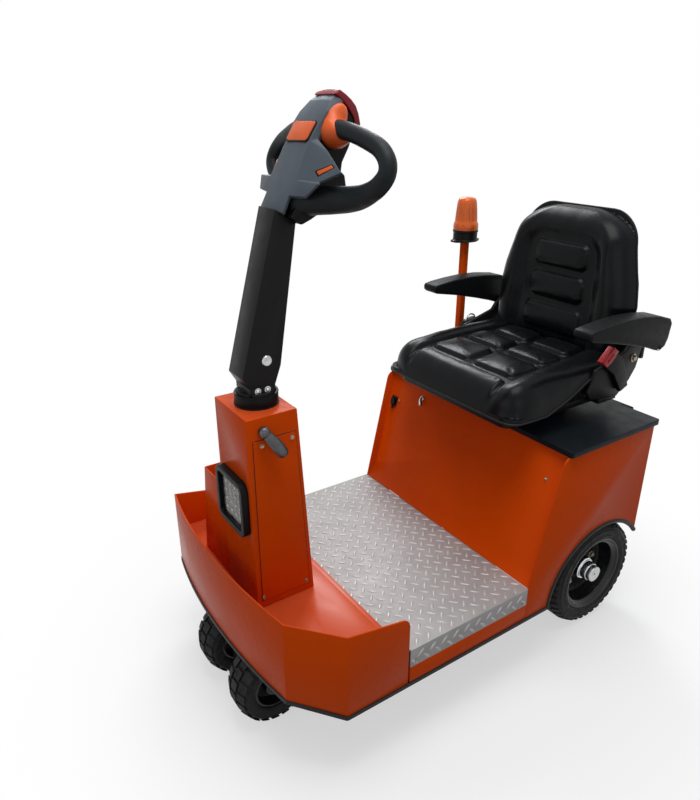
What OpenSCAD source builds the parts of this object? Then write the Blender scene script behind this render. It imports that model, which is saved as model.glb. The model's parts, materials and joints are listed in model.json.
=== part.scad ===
// Electric tow tractor: a seated, tiller-steered tug with a folded steel body,
// twin steered front wheels and two rear wheels.
// Frame: +X is forward, +Y is the vehicle's left, +Z is up. The origin lies on
// the floor, under the middle of the length and width. All sizes are in mm.

/* [Body lengths] */
// Width over the body panels
body_w = 760; // [700:5:820]
// From the front of the nose back to the crease of the deck
deck_len = 280; // [260:5:330]
// Ledge behind the deck, down to the floor plate
ledge_len = 17; // [12:1:40]
// From the ledge back to the front end of the plate's lips
plate_tuck = 31; // [20:1:50]
// Length of the floor plate at its lips
plate_len = 406; // [340:5:500]
// How far the seat box leans back from the plate to its top
box_rake = 86; // [40:2:120]
// Length of the seat box at its top
box_len = 377; // [340:1:460]
// How far the tow tongue reaches behind the seat box
hitch_reach = 143; // [110:1:200]

/* [Body heights] */
// Height of the lower edge of the body
skirt_z = 178; // [165:1:195]
// Height of the top of the floor plate
plate_z = 286; // [270:1:305]
// Height of the folded lip at each side of the floor plate
lip_h = 54; // [30:1:80]
// Height of the deck in the nose
deck_z = 325; // [315:1:340]
// Height of the top of the seat box
box_z = 660; // [620:5:720]
// Height of the top of the steering column
column_z = 849; // [800:5:900]

/* [Sheet metal] */
// Thickness of the body panels
sheet = 5; // [4:0.5:8]
// Thickness of the checker plate
plate_t = 5; // [4:0.5:8]
// Recess of the box front behind the edges of the box sides
front_recess = 25; // [15:1:40]
// Corner radius of the panels' free corners
panel_r = 28; // [10:1:45]

/* [Nose] */
// How far the front of the nose bulges ahead of its two ends
nose_bulge = 35; // [20:1:60]
// How far the bevelled left corner runs back
bevel_len = 110; // [60:2:150]
// How far the bevelled left corner runs in
bevel_w = 95; // [60:1:140]
// Height of the nose's upper edge at its rear end
nose_rear_z = 390; // [370:1:420]
// Height of the nose's upper edge at the front
nose_front_z = 448; // [430:1:480]
// Height of the nose's lower edge at the front
nose_lower_z = 222; // [215:1:240]

/* [Steering] */
// Steering axis, ahead of the rear end of the floor plate
steer_reach = 594; // [570:1:610]
// Lead of the front axle ahead of the steering axis
axle_lead = 58; // [20:1:60]
// Radius of the steering shaft
shaft_r = 25; // [20:0.5:30]
// Radial running clearance of shafts and axles
running_gap = 0.05; // [0.02:0.01:0.1]
// Width of the steering column
column_w = 172; // [150:2:190]
// Length of the column at its top
column_top_len = 131; // [120:1:150]
// Length of the column at the deck
column_foot_len = 164; // [150:1:180]

/* [Wheels] */
// Radius of the front tyres
front_r = 106; // [95:1:106]
// Width of a front tyre
front_w = 100; // [80:1:104]
// Distance between the middles of the twin front tyres
front_track = 202; // [190:1:220]
// Radius of the rear tyres
rear_r = 172; // [160:1:180]
// Width of a rear tyre
rear_w = 95; // [80:1:105]
// Gap from a rear tyre to the outer face of the body
rear_inset = 27; // [20:1:50]
// Rear axle ahead of the rear of the seat box
rear_axle_reach = 124; // [110:1:150]
// Radius of the wheel arch
arch_r = 208; // [200:1:225]
// Lead of the arch's middle ahead of the rear axle
arch_lead = 38; // [20:1:50]

/* [Tiller] */
// Width of the tiller arm
arm_w = 74; // [60:1:85]
// Lean of the control head back towards the driver
head_lean = 33; // [25:1:40]
// Length of the control head
head_len = 275; // [250:5:300]
// Radius of the grip tubes
grip_r = 19.5; // [15:0.5:23]
// Reach of a grip's middle line from the centre
grip_reach = 228; // [200:1:240]

/* [Seat] */
// Width of the seat cushion
seat_w = 520; // [460:5:560]
// Length of the seat cushion
seat_len = 403; // [360:1:430]
// Height of the backrest along its lean
back_h = 472; // [420:2:500]
// Width of the backrest
back_w = 480; // [420:2:500]
// Distance between the middles of the armrests
arm_span = 602; // [594:1:620]

/* [Beacon] */
// Height of the beacon pole above the lid
pole_h = 397; // [350:1:450]
// Radius of the beacon's lens at its foot
lens_r = 36.5; // [30:0.5:40]
// Height of the beacon's lens
lens_h = 114; // [90:1:130]

/* [Hidden] */
$fn = 64;
hull_fn = 24;
// Overrun of every cut past the face it starts from
over = 2;
// Angles of a quarter and a half turn
quarter = 90;
half_turn = 180;

// Places along the length, from the origin at the middle
full_len = deck_len + ledge_len + plate_tuck + plate_len + box_rake + box_len + hitch_reach;
nose_x = full_len / 2;
crease_x = nose_x - deck_len;
ledge_x = crease_x - ledge_len;
plate_front_x = ledge_x - plate_tuck;
plate_rear_x = plate_front_x - plate_len;
box_front_x = plate_rear_x - box_rake;
box_rear_x = box_front_x - box_len;
steer_x = plate_rear_x + steer_reach;
front_axle_x = steer_x + axle_lead;
// The tongue reaches as far behind the middle as the front tyres reach ahead of it
hitch_x = min(box_rear_x - hitch_reach, -front_axle_x - front_r);
rear_axle_x = box_rear_x + rear_axle_reach;
half_w = body_w / 2;
inner_w = half_w - sheet;

// Nose: its front is one arc between the bevel and the right corner
bend_x = nose_x - nose_bulge;
bend_y = half_w - bevel_w;
arc_half = (bend_y + half_w) / 2;
arc_r = (arc_half * arc_half + nose_bulge * nose_bulge) / (2 * nose_bulge);
arc_o = [nose_x - arc_r, (bend_y - half_w) / 2];
bevel_p = [bend_x - bevel_len, half_w];
bevel_u = [bevel_len, -bevel_w] / norm([bevel_len, bevel_w]);
bevel_n = [bevel_u[1], -bevel_u[0]];
arc_steps = 24;

function ray_circle(p, u, o, r) =
    let (m = p - o, b = m * u, c = m * m - r * r) p + u * (sqrt(b * b - c) - b);

function arc(o, r, a0, a1, n) =
    [for (i = [0 : n]) let (a = a0 + (a1 - a0) * i / n) o + r * [cos(a), sin(a)]];

function heading(p, o) = atan2(p[1] - o[1], p[0] - o[0]);

// Outline of the nose, moved in by t, open to the rear at rear_x
function nose_outline(t, rear_x) =
    let (
        p = bevel_p + bevel_n * t,
        corner = p + bevel_u * (half_w - t - p[1]) / bevel_u[1],
        bend = ray_circle(p, bevel_u, arc_o, arc_r - t),
        side = ray_circle([bend_x - bevel_len, t - half_w], [1, 0], arc_o, arc_r - t)
    )
    concat([[rear_x, half_w - t], corner],
           arc(arc_o, arc_r - t, heading(bend, arc_o), heading(side, arc_o), arc_steps),
           [[rear_x, t - half_w]]);

function rounded_rect(w, h, r, n) =
    concat(arc([w / 2 - r, h / 2 - r], r, 0, quarter, n),
           arc([r - w / 2, h / 2 - r], r, quarter, half_turn, n),
           arc([r - w / 2, r - h / 2], r, half_turn, half_turn + quarter, n),
           arc([w / 2 - r, r - h / 2], r, half_turn + quarter, 2 * half_turn, n));

round_steps = 6;

// Builds an outline drawn in X and Z into a slab across Y
module xz_slab(y_mid, w) {
    translate([0, y_mid + w / 2, 0]) rotate([90, 0, 0]) linear_extrude(height = w) children();
}

// Builds an outline drawn in Y and Z into a slab along X
module yz_slab(x0, t) {
    translate([x0, 0, 0]) rotate([90, 0, 90]) linear_extrude(height = t) children();
}

module block(lo, hi) {
    translate(lo) cube(hi - lo);
}

// A turned shape about an axle: radius against distance outwards along Y
module turned(x, y, z, side) {
    translate([x, y, z]) rotate([-90 * side, 0, 0]) rotate_extrude() children();
}

// Chassis values
sill_w = 40;
spine_w = 110;
spine_z = 232;
rail_clear = 68;
rail_y = half_w - rear_inset - rear_w - rail_clear;
rail_w = 40;
rail_h = 42;
bearing_r = 58;
bearing_in = 32;
cross_t = 14;
cross_h = 92;
front_member_x = bend_x - bevel_len;

module chassis_frame() {
    color("orangered") difference() {
        union() {
            for (side = [-1, 1]) {
                y0 = side > 0 ? half_w - sill_w : -half_w;
                block([plate_rear_x, y0, skirt_z], [plate_front_x, y0 + sill_w, plate_z - lip_h]);
                r0 = side * rail_y - rail_w / 2;
                block([box_rear_x + sheet, r0, spine_z], [plate_rear_x, r0 + rail_w, spine_z + rail_h]);
            }
            // Cross members under the plate's two ends
            block([plate_rear_x, -half_w + sill_w, skirt_z],
                  [plate_rear_x + rail_w, half_w - sill_w, plate_z - plate_t]);
            block([plate_front_x - rail_w, -half_w + sill_w, skirt_z],
                  [plate_front_x, half_w - sill_w, plate_z - plate_t]);
            // Spine from the plate to the steering bearing
            block([plate_rear_x, -spine_w / 2, spine_z],
                  [steer_x - bearing_in, spine_w / 2, plate_z - plate_t]);
            translate([steer_x, 0, spine_z]) cylinder(r = bearing_r, h = deck_z - sheet - spine_z);
            // Member across the nose, under the deck
            block([steer_x - bearing_in - bearing_r, -inner_w, plate_z - plate_t],
                  [steer_x - bearing_in, inner_w, deck_z - sheet]);
            // Rear cross member that carries the tow tongue
            block([box_rear_x + sheet, -rail_y, spine_z - cross_h / 2],
                  [box_rear_x + sheet + cross_t, rail_y, spine_z + cross_h / 2]);
        }
        translate([steer_x, 0, spine_z - over])
            cylinder(r = shaft_r + running_gap, h = deck_z - spine_z + over);
    }
}

// Nose panel: its upper and lower edges both rise towards the front
nose_back_x = plate_front_x + sheet;
nose_rise = (nose_front_z - nose_rear_z) / (nose_x - nose_back_x);
rear_slope = atan(nose_rise);

module nose_panel() {
    color("orangered") intersection() {
        translate([0, 0, skirt_z - over]) linear_extrude(height = nose_front_z) difference() {
            polygon(nose_outline(0, nose_back_x));
            polygon(nose_outline(sheet, nose_back_x - over));
        }
        xz_slab(0, body_w + over) polygon(concat(
            [[nose_back_x, skirt_z], [front_member_x, skirt_z], [nose_x + over, nose_lower_z],
             [nose_x + over, nose_front_z]],
            arc([nose_back_x + panel_r, nose_rear_z - panel_r], panel_r,
                quarter + rear_slope, half_turn, round_steps)));
    }
}

// Deck in the nose, with a ledge that drops to the floor plate
ledge_drop = 6;
column_hole_r = 62;

module nose_deck() {
    color("orangered") difference() {
        union() {
            translate([0, 0, deck_z - sheet]) linear_extrude(height = sheet)
                polygon(nose_outline(sheet, crease_x));
            block([ledge_x, -inner_w, deck_z - sheet - ledge_drop],
                  [crease_x + sheet, inner_w, deck_z - ledge_drop]);
            block([ledge_x, -inner_w, plate_z], [ledge_x + sheet, inner_w, deck_z - ledge_drop]);
        }
        translate([steer_x, 0, deck_z - sheet - over]) cylinder(r = column_hole_r, h = sheet + 2 * over);
    }
}

module floor_plate() {
    color("silver") {
        block([plate_rear_x, -half_w, plate_z - plate_t], [plate_front_x, half_w, plate_z]);
        block([plate_front_x, -inner_w, plate_z - plate_t], [ledge_x + sheet, inner_w, plate_z]);
        for (side = [0, 1]) mirror([0, side, 0])
            block([plate_rear_x, half_w - plate_t, plate_z - lip_h], [plate_front_x, half_w, plate_z]);
    }
}

// Steering column: a folded box, upright in front and leaning behind
column_lead = 5;
column_front_x = steer_x + column_top_len / 2 + column_lead;
column_wall = 4;
column_lid = 8;
lamp_w = 150;
lamp_drop = 242;
lamp_z = column_z - lamp_drop;
lamp_back_w = 122;
column_outline = [[column_front_x - column_foot_len, deck_z], [column_front_x, deck_z],
                  [column_front_x, column_z], [column_front_x - column_top_len, column_z]];

module steering_column() {
    color("orangered") difference() {
        xz_slab(0, column_w) polygon(column_outline);
        xz_slab(0, column_w - 2 * column_wall) polygon([
            [column_front_x - column_foot_len + column_wall, deck_z - over],
            [column_front_x - column_wall, deck_z - over],
            [column_front_x - column_wall, column_z - column_lid],
            [column_front_x - column_top_len + column_wall, column_z - column_lid]]);
        translate([steer_x, 0, column_z - column_lid - over])
            cylinder(r = shaft_r + running_gap, h = column_lid + 2 * over);
        translate([column_front_x - column_wall - over, 0, lamp_z])
            yz_slab(0, column_wall + 2 * over) square(lamp_back_w, center = true);
    }
}

// Access cover on the column's left side
cover_t = 2.5;
cover_foot = 22;
cover_head = 56;
cover_margin = 14;

module column_cover() {
    color("orangered") xz_slab((column_w + cover_t) / 2, cover_t) polygon([
        [column_front_x - column_foot_len + cover_margin, deck_z + cover_foot],
        [column_front_x - cover_margin, deck_z + cover_foot],
        [column_front_x - cover_margin, column_z - cover_head],
        [column_front_x - column_top_len + cover_margin / 2, column_z - cover_head]]);
}

// Open-topped bin on the column's right side
bin_w = 157;
bin_h = 255;
bin_wall = 3;
bin_lean = 16;

module storage_bin() {
    color("orangered") difference() {
        xz_slab(-(column_w + bin_w) / 2, bin_w) polygon([
            [column_front_x - column_foot_len, deck_z], [column_front_x, deck_z],
            [column_front_x - bin_lean, deck_z + bin_h], [column_front_x - column_foot_len, deck_z + bin_h]]);
        xz_slab(-(column_w + bin_w) / 2, bin_w - 2 * bin_wall) polygon([
            [column_front_x - column_foot_len + bin_wall, deck_z + bin_wall],
            [column_front_x - bin_wall, deck_z + bin_wall],
            [column_front_x - bin_wall - bin_lean, deck_z + bin_h + over],
            [column_front_x - column_foot_len + bin_wall, deck_z + bin_h + over]]);
    }
}

// Square work lamp on the column's front
lamp_depth = 19;
lamp_r = 26;
bezel_w = 15;
lens_back = 6;
lens_t = 5;

module lamp_housing() {
    color("black") translate([0, 0, lamp_z]) {
        difference() {
            yz_slab(column_front_x, lamp_depth) polygon(rounded_rect(lamp_w, lamp_w, lamp_r, round_steps));
            yz_slab(column_front_x + lens_back, lamp_depth)
                polygon(rounded_rect(lamp_w - 2 * bezel_w, lamp_w - 2 * bezel_w,
                                     lamp_r - bezel_w, round_steps));
        }
        yz_slab(column_front_x - column_wall, column_wall) square(lamp_back_w, center = true);
    }
}

module lamp_lens() {
    color("lightgray") translate([0, 0, lamp_z]) yz_slab(column_front_x + lens_back, lens_t)
        polygon(rounded_rect(lamp_w - 2 * bezel_w, lamp_w - 2 * bezel_w, lamp_r - bezel_w, round_steps));
}

// Collar on the column, round the foot of the tiller
collar_r = 52;
collar_wall = 4.5;
collar_h = 30;
foot_gap = 1.5;
foot_lift = 0.3;
foot_h = 35;

module column_collar() {
    color("black") translate([steer_x, 0, column_z]) difference() {
        cylinder(r = collar_r, h = collar_h);
        translate([0, 0, -over]) cylinder(r = collar_r - collar_wall, h = collar_h + 2 * over);
    }
}

// Clamp levers on both sides of the column
lever_lead = 33;
lever_drop = 31;
lever_x = steer_x + lever_lead;
lever_z = column_z - lever_drop;
lever_hub_r = 11;
lever_hub_len = 14;
lever_len = 78;
lever_w = 15;
lever_t = 11;
lever_gap = 1;
lever_tilt = 35;

module clamp_levers() {
    color("dimgray") for (side = [0, 1]) mirror([0, side, 0]) translate([lever_x, column_w / 2, lever_z]) {
        rotate([-90, 0, 0]) cylinder(r = lever_hub_r, h = lever_hub_len + lever_t);
        translate([0, lever_hub_len, 0]) rotate([0, half_turn + lever_tilt, 0])
            translate([-lever_w / 2, lever_gap, 0]) cube([lever_w, lever_t - 2 * lever_gap, lever_len]);
    }
}

// Key switch on the column's rear face
key_r = 13;
key_len = 12;
key_drop = 60;
column_lean = atan((column_foot_len - column_top_len) / (column_z - deck_z));

module key_switch() {
    color("dimgray")
        translate([column_front_x - column_top_len - key_drop * tan(column_lean), 0, column_z - key_drop])
        rotate([0, column_lean - 90, 0]) translate([0, 0, foot_lift]) {
            cylinder(r = key_r, h = key_len);
            translate([-key_r / 4, -key_r / 2, key_len]) cube([key_r / 2, key_r, key_r]);
        }
}

// Seat box: two arched sides, a raked front with a toe strip, and a back
arch_x = rear_axle_x + arch_lead;
box_slope = atan(box_rake / (box_z - plate_z));
side_corner = [box_front_x - panel_r * tan(45 - box_slope / 2) , box_z - panel_r];
box_side_outline = concat(
    [[box_rear_x, skirt_z], [plate_rear_x, skirt_z], [plate_rear_x, plate_z]],
    arc(side_corner, panel_r, box_slope, quarter, round_steps),
    [[box_rear_x, box_z]]);

module box_side(side) {
    color("orangered") mirror([0, side > 0 ? 0 : 1, 0]) difference() {
        xz_slab(half_w - sheet / 2, sheet) polygon(box_side_outline);
        translate([arch_x, half_w - sheet - over, rear_r]) rotate([-90, 0, 0])
            cylinder(r = arch_r, h = sheet + 2 * over);
    }
}

module box_side_left() {
    box_side(1);
}

module box_side_right() {
    box_side(-1);
}

toe_h = 40;
toe_x = plate_rear_x - front_recess - toe_h * tan(box_slope);
front_top_x = box_front_x - front_recess;

module box_front() {
    color("orangered") xz_slab(0, 2 * inner_w) polygon([
        [plate_rear_x, plate_z], [toe_x, plate_z + toe_h], [front_top_x, box_z],
        [front_top_x - sheet, box_z], [toe_x - sheet, plate_z + toe_h], [plate_rear_x - 2 * sheet, plate_z]]);
}

// The back is cut out over the tyres, a little above the ends of the arches
box_rear_low_z = spine_z + cross_h / 2;
notch_rise = 8;
notch_gap = 12;
notch_y = half_w - rear_inset - rear_w - notch_gap;
notch_z = rear_r + sqrt(arch_r * arch_r - pow(arch_x - box_rear_x, 2)) + notch_rise;

module box_rear() {
    color("orangered") yz_slab(box_rear_x, sheet) polygon([
        [-notch_y, box_rear_low_z], [notch_y, box_rear_low_z], [notch_y, notch_z], [inner_w, notch_z],
        [inner_w, box_z], [-inner_w, box_z], [-inner_w, notch_z], [-notch_y, notch_z]]);
}

// Lid latch and hand lever on the box front
latch_in = 36;
latch_y = latch_in - half_w;
latch_drop = 97;
latch_w = 26;
latch_h = 34;
latch_t = 9;
hand_in = 168;
hand_y = hand_in - half_w;
hand_drop = 45;
hand_r = 7;
hand_len = 44;

// Places children on the raked box front, a drop below its top
module on_front(y, drop) {
    translate([front_top_x + drop * tan(box_slope), y, box_z - drop]) rotate([0, -box_slope, 0]) children();
}

module panel_latches() {
    color("black") {
        on_front(latch_y, latch_drop)
            translate([0, -latch_w / 2, -latch_h / 2]) cube([latch_t, latch_w, latch_h]);
        on_front(hand_y, hand_drop) {
            rotate([0, 90, 0]) cylinder(r = hand_r, h = latch_t);
            translate([latch_t, -hand_r, -hand_len]) cube([hand_r, 2 * hand_r, hand_len + hand_r]);
        }
    }
}

// Battery: one block on the rear rails
battery_clear = 33;
battery_w = 2 * (half_w - rear_inset - rear_w - battery_clear);
battery_h = 320;
battery_gap = 20;

module battery() {
    color("darkslategray") block(
        [box_rear_x + sheet + battery_gap, -battery_w / 2, spine_z + rail_h],
        [front_top_x - sheet - battery_gap, battery_w / 2, spine_z + rail_h + battery_h]);
}

// Rear axle: a tube with a bevel housing, stub shafts and pads up to the rails
tube_r = 30;
stub_r = 17.5;
housing_r = 62;
housing_w = 110;
tyre_out_y = half_w - rear_inset;
tyre_mid_y = tyre_out_y - rear_w / 2;
tube_clear = 8;
stub_out = 34;
tube_end_y = tyre_out_y - rear_w - tube_clear;
stub_end_y = tyre_mid_y + stub_out;
pad_w = 50;
nut_r = 24;
nut_len = 14;

module drive_axle() {
    color("dimgray") translate([rear_axle_x, 0, rear_r]) {
        rotate([-90, 0, 0]) cylinder(r = tube_r, h = 2 * tube_end_y, center = true);
        rotate([-90, 0, 0]) cylinder(r = housing_r, h = housing_w, center = true);
        rotate([-90, 0, 0]) cylinder(r = stub_r, h = 2 * stub_end_y, center = true);
        for (side = [-1, 1]) {
            block([-pad_w / 2, side * rail_y - rail_w / 2, 0],
                  [pad_w / 2, side * rail_y + rail_w / 2, spine_z - rear_r]);
            translate([0, side * (stub_end_y + nut_len / 2), 0]) rotate([-90, 0, 0])
                cylinder(r = nut_r, h = nut_len, center = true);
        }
    }
}

motor_r = 68;
motor_len = 190;

module drive_motor() {
    color("black") translate([rear_axle_x + housing_r, 0, rear_r]) rotate([0, 90, 0])
        cylinder(r = motor_r, h = motor_len);
}

// Rear wheels: a deeply dished rim and its tyre
rim_r = 118;
barrel_t = 9;
dish_t = 8;
dish_back = 14;
hub_r = 34;
hub_back = 40;
hub_front = stub_end_y - tyre_mid_y;
rim_in = 6;
rim_w = rear_w - 2 * rim_in;

module rear_rim(side) {
    color("black") turned(rear_axle_x, side * tyre_mid_y, rear_r, side) polygon([
        [stub_r + running_gap, -hub_back], [hub_r, -hub_back], [hub_r, -dish_back - dish_t],
        [rim_r - barrel_t, -dish_back - dish_t], [rim_r - barrel_t, -rim_w / 2], [rim_r, -rim_w / 2],
        [rim_r, rim_w / 2], [rim_r - barrel_t, rim_w / 2], [rim_r - barrel_t, -dish_back],
        [hub_r, -dish_back], [hub_r, hub_front], [stub_r + running_gap, hub_front]]);
}

tyre_bulge = 10;
shoulder = 20;

// Half of a tyre's section, from the bead to the tread, as radius and place across
function tyre_section(bead_r, out_r, w) = [
    [bead_r, -w / 2 + tyre_bulge], [bead_r + shoulder / 2, -w / 2],
    [out_r - shoulder, -w / 2], [out_r, -w / 2 + shoulder], [out_r, w / 2 - shoulder],
    [out_r - shoulder, w / 2], [bead_r + shoulder / 2, w / 2], [bead_r, w / 2 - tyre_bulge]];

module rear_tyre(side) {
    color("dimgray") turned(rear_axle_x, side * tyre_mid_y, rear_r, side)
        polygon(tyre_section(rim_r, rear_r, rear_w));
}

module rear_rim_left() {
    rear_rim(1);
}

module rear_tyre_left() {
    rear_tyre(1);
}

module rear_rim_right() {
    rear_rim(-1);
}

module rear_tyre_right() {
    rear_tyre(-1);
}

// Steered carrier: shaft, turntable, post and the twin wheels' axle
axle_r = 12;
post_w = 70;
post_len = 84;
turntable_r = 80;
turntable_t = 9;
turntable_z = spine_z - foot_lift - turntable_t;
front_nut_r = 18;
front_nut_len = 8;
axle_in = 14;
axle_half = front_track / 2 + front_w / 2 - axle_in;

module steer_carrier() {
    color("dimgray") {
        translate([steer_x, 0, turntable_z]) {
            cylinder(r = turntable_r, h = turntable_t);
            cylinder(r = shaft_r, h = column_z + foot_lift - turntable_z);
        }
        block([steer_x - post_len / 2, -post_w / 2, front_r - post_w / 2],
              [front_axle_x + post_len / 2, post_w / 2, turntable_z]);
        translate([front_axle_x, 0, front_r]) rotate([-90, 0, 0])
            cylinder(r = axle_r, h = 2 * axle_half, center = true);
        for (side = [-1, 1])
            translate([front_axle_x, side * (axle_half + front_nut_len / 2), front_r]) rotate([-90, 0, 0])
                cylinder(r = front_nut_r, h = front_nut_len, center = true);
    }
}

front_rim_r = 62;
front_hub_r = 28;
front_barrel_t = 7;
front_disc_t = 10;
hub_past = 5;
hub_gap = 1;
front_hub_in = front_w / 2 + hub_past;
front_hub_out = axle_half - front_track / 2 - hub_gap;

module front_rims() {
    color("black") for (side = [-1, 1])
        turned(front_axle_x, side * front_track / 2, front_r, side) polygon([
            [axle_r + running_gap, -front_hub_in], [front_hub_r, -front_hub_in],
            [front_hub_r, -front_disc_t / 2], [front_rim_r - front_barrel_t, -front_disc_t / 2],
            [front_rim_r - front_barrel_t, tyre_bulge - front_w / 2],
            [front_rim_r, tyre_bulge - front_w / 2], [front_rim_r, front_w / 2 - tyre_bulge],
            [front_rim_r - front_barrel_t, front_w / 2 - tyre_bulge],
            [front_rim_r - front_barrel_t, front_disc_t / 2], [front_hub_r, front_disc_t / 2],
            [front_hub_r, front_hub_out], [axle_r + running_gap, front_hub_out]]);
}

module front_tyres() {
    color("dimgray") for (side = [-1, 1])
        turned(front_axle_x, side * front_track / 2, front_r, side)
            polygon(tyre_section(front_rim_r, front_r, front_w));
}

// Tow tongue: a flat bar with a bore for a trailer's clevis pin
tongue_w = 90;
tongue_t = 18;
tongue_r = 14;
tongue_z = spine_z;
tongue_plate_h = 70;
gusset_h = 34;

module tow_hitch() {
    eye_x = hitch_x + tongue_w / 2;
    color("dimgray") difference() {
        union() {
            block([box_rear_x + sheet - cross_t, -tongue_w, tongue_z - tongue_plate_h / 2],
                  [box_rear_x + sheet, tongue_w, tongue_z + tongue_plate_h / 2]);
            block([eye_x, -tongue_w / 2, tongue_z - tongue_t / 2],
                  [box_rear_x + sheet - cross_t, tongue_w / 2, tongue_z + tongue_t / 2]);
            translate([eye_x, 0, tongue_z - tongue_t / 2]) cylinder(r = tongue_w / 2, h = tongue_t);
            xz_slab(0, tongue_t) polygon([
                [box_rear_x + sheet - cross_t, tongue_z + tongue_t / 2],
                [box_rear_x + sheet - cross_t, tongue_z + tongue_plate_h / 2],
                [box_rear_x + sheet - cross_t - gusset_h, tongue_z + tongue_t / 2]]);
        }
        translate([eye_x, 0, tongue_z - tongue_t]) cylinder(r = tongue_r, h = 2 * tongue_t);
    }
}

// Tiller: a round foot in the collar, a neck, and an arm that tapers upwards
neck_len = 65;
neck_h = 20;
neck_z = column_z + collar_h + neck_h;
foot_z = column_z + foot_lift;
arm_swell_h = 28;
arm_low_z = neck_z + arm_swell_h;
arm_low_len = 98;
arm_front_n = 14;
arm_rear_n = -45;
head_back = 62;
head_rise = 434;
head_base = [steer_x - head_back, 0, column_z + head_rise];

// A point in the head's bottom plane, n out of the head's front
function head_foot(n) = [head_base[0] + n * cos(head_lean), head_base[2] + n * sin(head_lean)];

pivot_r = 10.5;
pivot_out = 3;
pivot_up = 32;
pivot_z = arm_low_z + pivot_up;

module tiller_foot() {
    color("black") {
        translate([steer_x, 0, foot_z]) cylinder(r = collar_r - collar_wall - foot_gap, h = foot_h);
        block([steer_x - neck_len / 2, -arm_w / 2, foot_z + foot_h],
              [steer_x + neck_len / 2, arm_w / 2, neck_z]);
    }
}

module tiller_arm() {
    color("black") xz_slab(0, arm_w) polygon([
        [steer_x - neck_len / 2, neck_z], [steer_x + neck_len / 2, neck_z],
        [steer_x + arm_low_len / 2, arm_low_z], head_foot(arm_front_n), head_foot(arm_rear_n),
        [steer_x - arm_low_len / 2, arm_low_z + neck_len / 4]]);
    color("silver") for (side = [-1, 1])
        translate([steer_x - neck_len / 5, side * (arm_w + pivot_out) / 2, pivot_z]) rotate([90, 0, 0])
            cylinder(r = pivot_r, h = pivot_out, center = true);
}

// Control head, in its own leaning frame: X out of its front, Z along its spine
spine_t = 46;
neck_half = 52;
spine_half = 44;
wing_half = 100;
neck_lead = 16;
wing_t = 30;
wing_back = 16;
wing_low = 34;
wing_mid = 66;
wing_high = 128;
core_half = 60;
core_t = 52;
core_step = 150;

module head_frame() {
    translate(head_base) rotate([0, -head_lean, 0]) children();
}

module tiller_head() {
    color("slategray") head_frame() {
        yz_slab(-spine_t, spine_t) polygon([
            [-neck_half, 0], [neck_half, 0], [neck_half, wing_low], [spine_half, wing_high],
            [spine_half, head_len], [-spine_half, head_len],
            [-spine_half, wing_high], [-neck_half, wing_low]]);
        block([0, -neck_half, 0], [neck_lead, neck_half, wing_low]);
        for (side = [0, 1]) mirror([0, side, 0]) yz_slab(-wing_back - wing_t, wing_t) polygon([
            [neck_half, wing_low], [wing_half, wing_mid], [wing_half, wing_mid + wing_low],
            [spine_half, wing_high + wing_low]]);
    }
}

// Dark underside of the head, and its neck into the arm
module tiller_core() {
    color("black") head_frame() {
        yz_slab(-spine_t - core_t, core_t) polygon([
            [-core_half, 0], [core_half, 0], [core_half, core_step],
            [spine_half, core_step + core_half - spine_half], [spine_half, head_len],
            [-spine_half, head_len], [-spine_half, core_step + core_half - spine_half],
            [-core_half, core_step]]);
    }
}

// Red stop button over the end of the head
cap_t = 12;

module stop_cap() {
    color("firebrick") head_frame()
        block([-spine_t - core_t, -spine_half, head_len], [0, spine_half, head_len + cap_t]);
}

// Orange pad on the spine and a rocker on each wing
pad_s = 162;
pad_h = 48;
pad_w2 = 84;
pad_t = 2;
rocker_s = 84;
rocker_w = 34;
rocker_h = 14;
rocker_y = 74;

module head_switches() {
    color("coral") head_frame() {
        block([0, -pad_w2 / 2, pad_s], [pad_t, pad_w2 / 2, pad_s + pad_h]);
        for (side = [0, 1]) mirror([0, side, 0])
            block([-wing_back, rocker_y - rocker_w / 2, rocker_s],
                  [-wing_back + pad_t, rocker_y + rocker_w / 2, rocker_s + rocker_h]);
    }
}

// Butterfly thumb wheels at the two sides of the head
thumb_s = 205;
thumb_r = 30;
thumb_w = 22;
thumb_n = -28;

module thumb_wheels() {
    color("orangered") head_frame() for (side = [0, 1]) mirror([0, side, 0])
        translate([thumb_n, spine_half, thumb_s]) rotate([-90, 0, 0]) cylinder(r = thumb_r, h = thumb_w);
}

// Grips: round tubes from the thumb wheels, out, down and back to the head's foot
// Columns: out of the head's front, across as a share of the reach, along the spine
grip_route_shares = [
    [-0.10, 0.30, 0.745], [-0.12, 0.55, 0.74], [-0.17, 0.80, 0.70], [-0.20, 0.95, 0.64],
    [-0.215, 1.00, 0.55], [-0.235, 0.96, 0.45], [-0.25, 0.85, 0.36], [-0.257, 0.68, 0.29],
    [-0.257, 0.50, 0.255], [-0.257, 0.275, 0.235]];
grip_sides = 12;

function grip_point(i) = let (p = grip_route_shares[i])
    [p[0] * head_len, p[1] * grip_reach, p[2] * head_len];

function grip_ring(i, n) =
    let (
        a = grip_point(max(i - 1, 0)),
        b = grip_point(min(i + 1, n - 1)),
        t = (b - a) / norm(b - a),
        u = cross([1, 0, 0], t) / norm(cross([1, 0, 0], t)),
        v = cross(t, u)
    )
    [for (k = [0 : grip_sides - 1]) grip_point(i)
        + grip_r * (cos(360 * k / grip_sides) * u + sin(360 * k / grip_sides) * v)];

module grip_tube() {
    n = len(grip_route_shares);
    m = grip_sides;
    points = [for (i = [0 : n - 1]) each grip_ring(i, n)];
    sides = [for (i = [0 : n - 2], k = [0 : m - 1])
        [i * m + k, i * m + (k + 1) % m, (i + 1) * m + (k + 1) % m, (i + 1) * m + k]];
    first = [[for (k = [m - 1 : -1 : 0]) k]];
    last = [[for (k = [0 : m - 1]) (n - 1) * m + k]];
    polyhedron(points, concat(sides, first, last));
}

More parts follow.
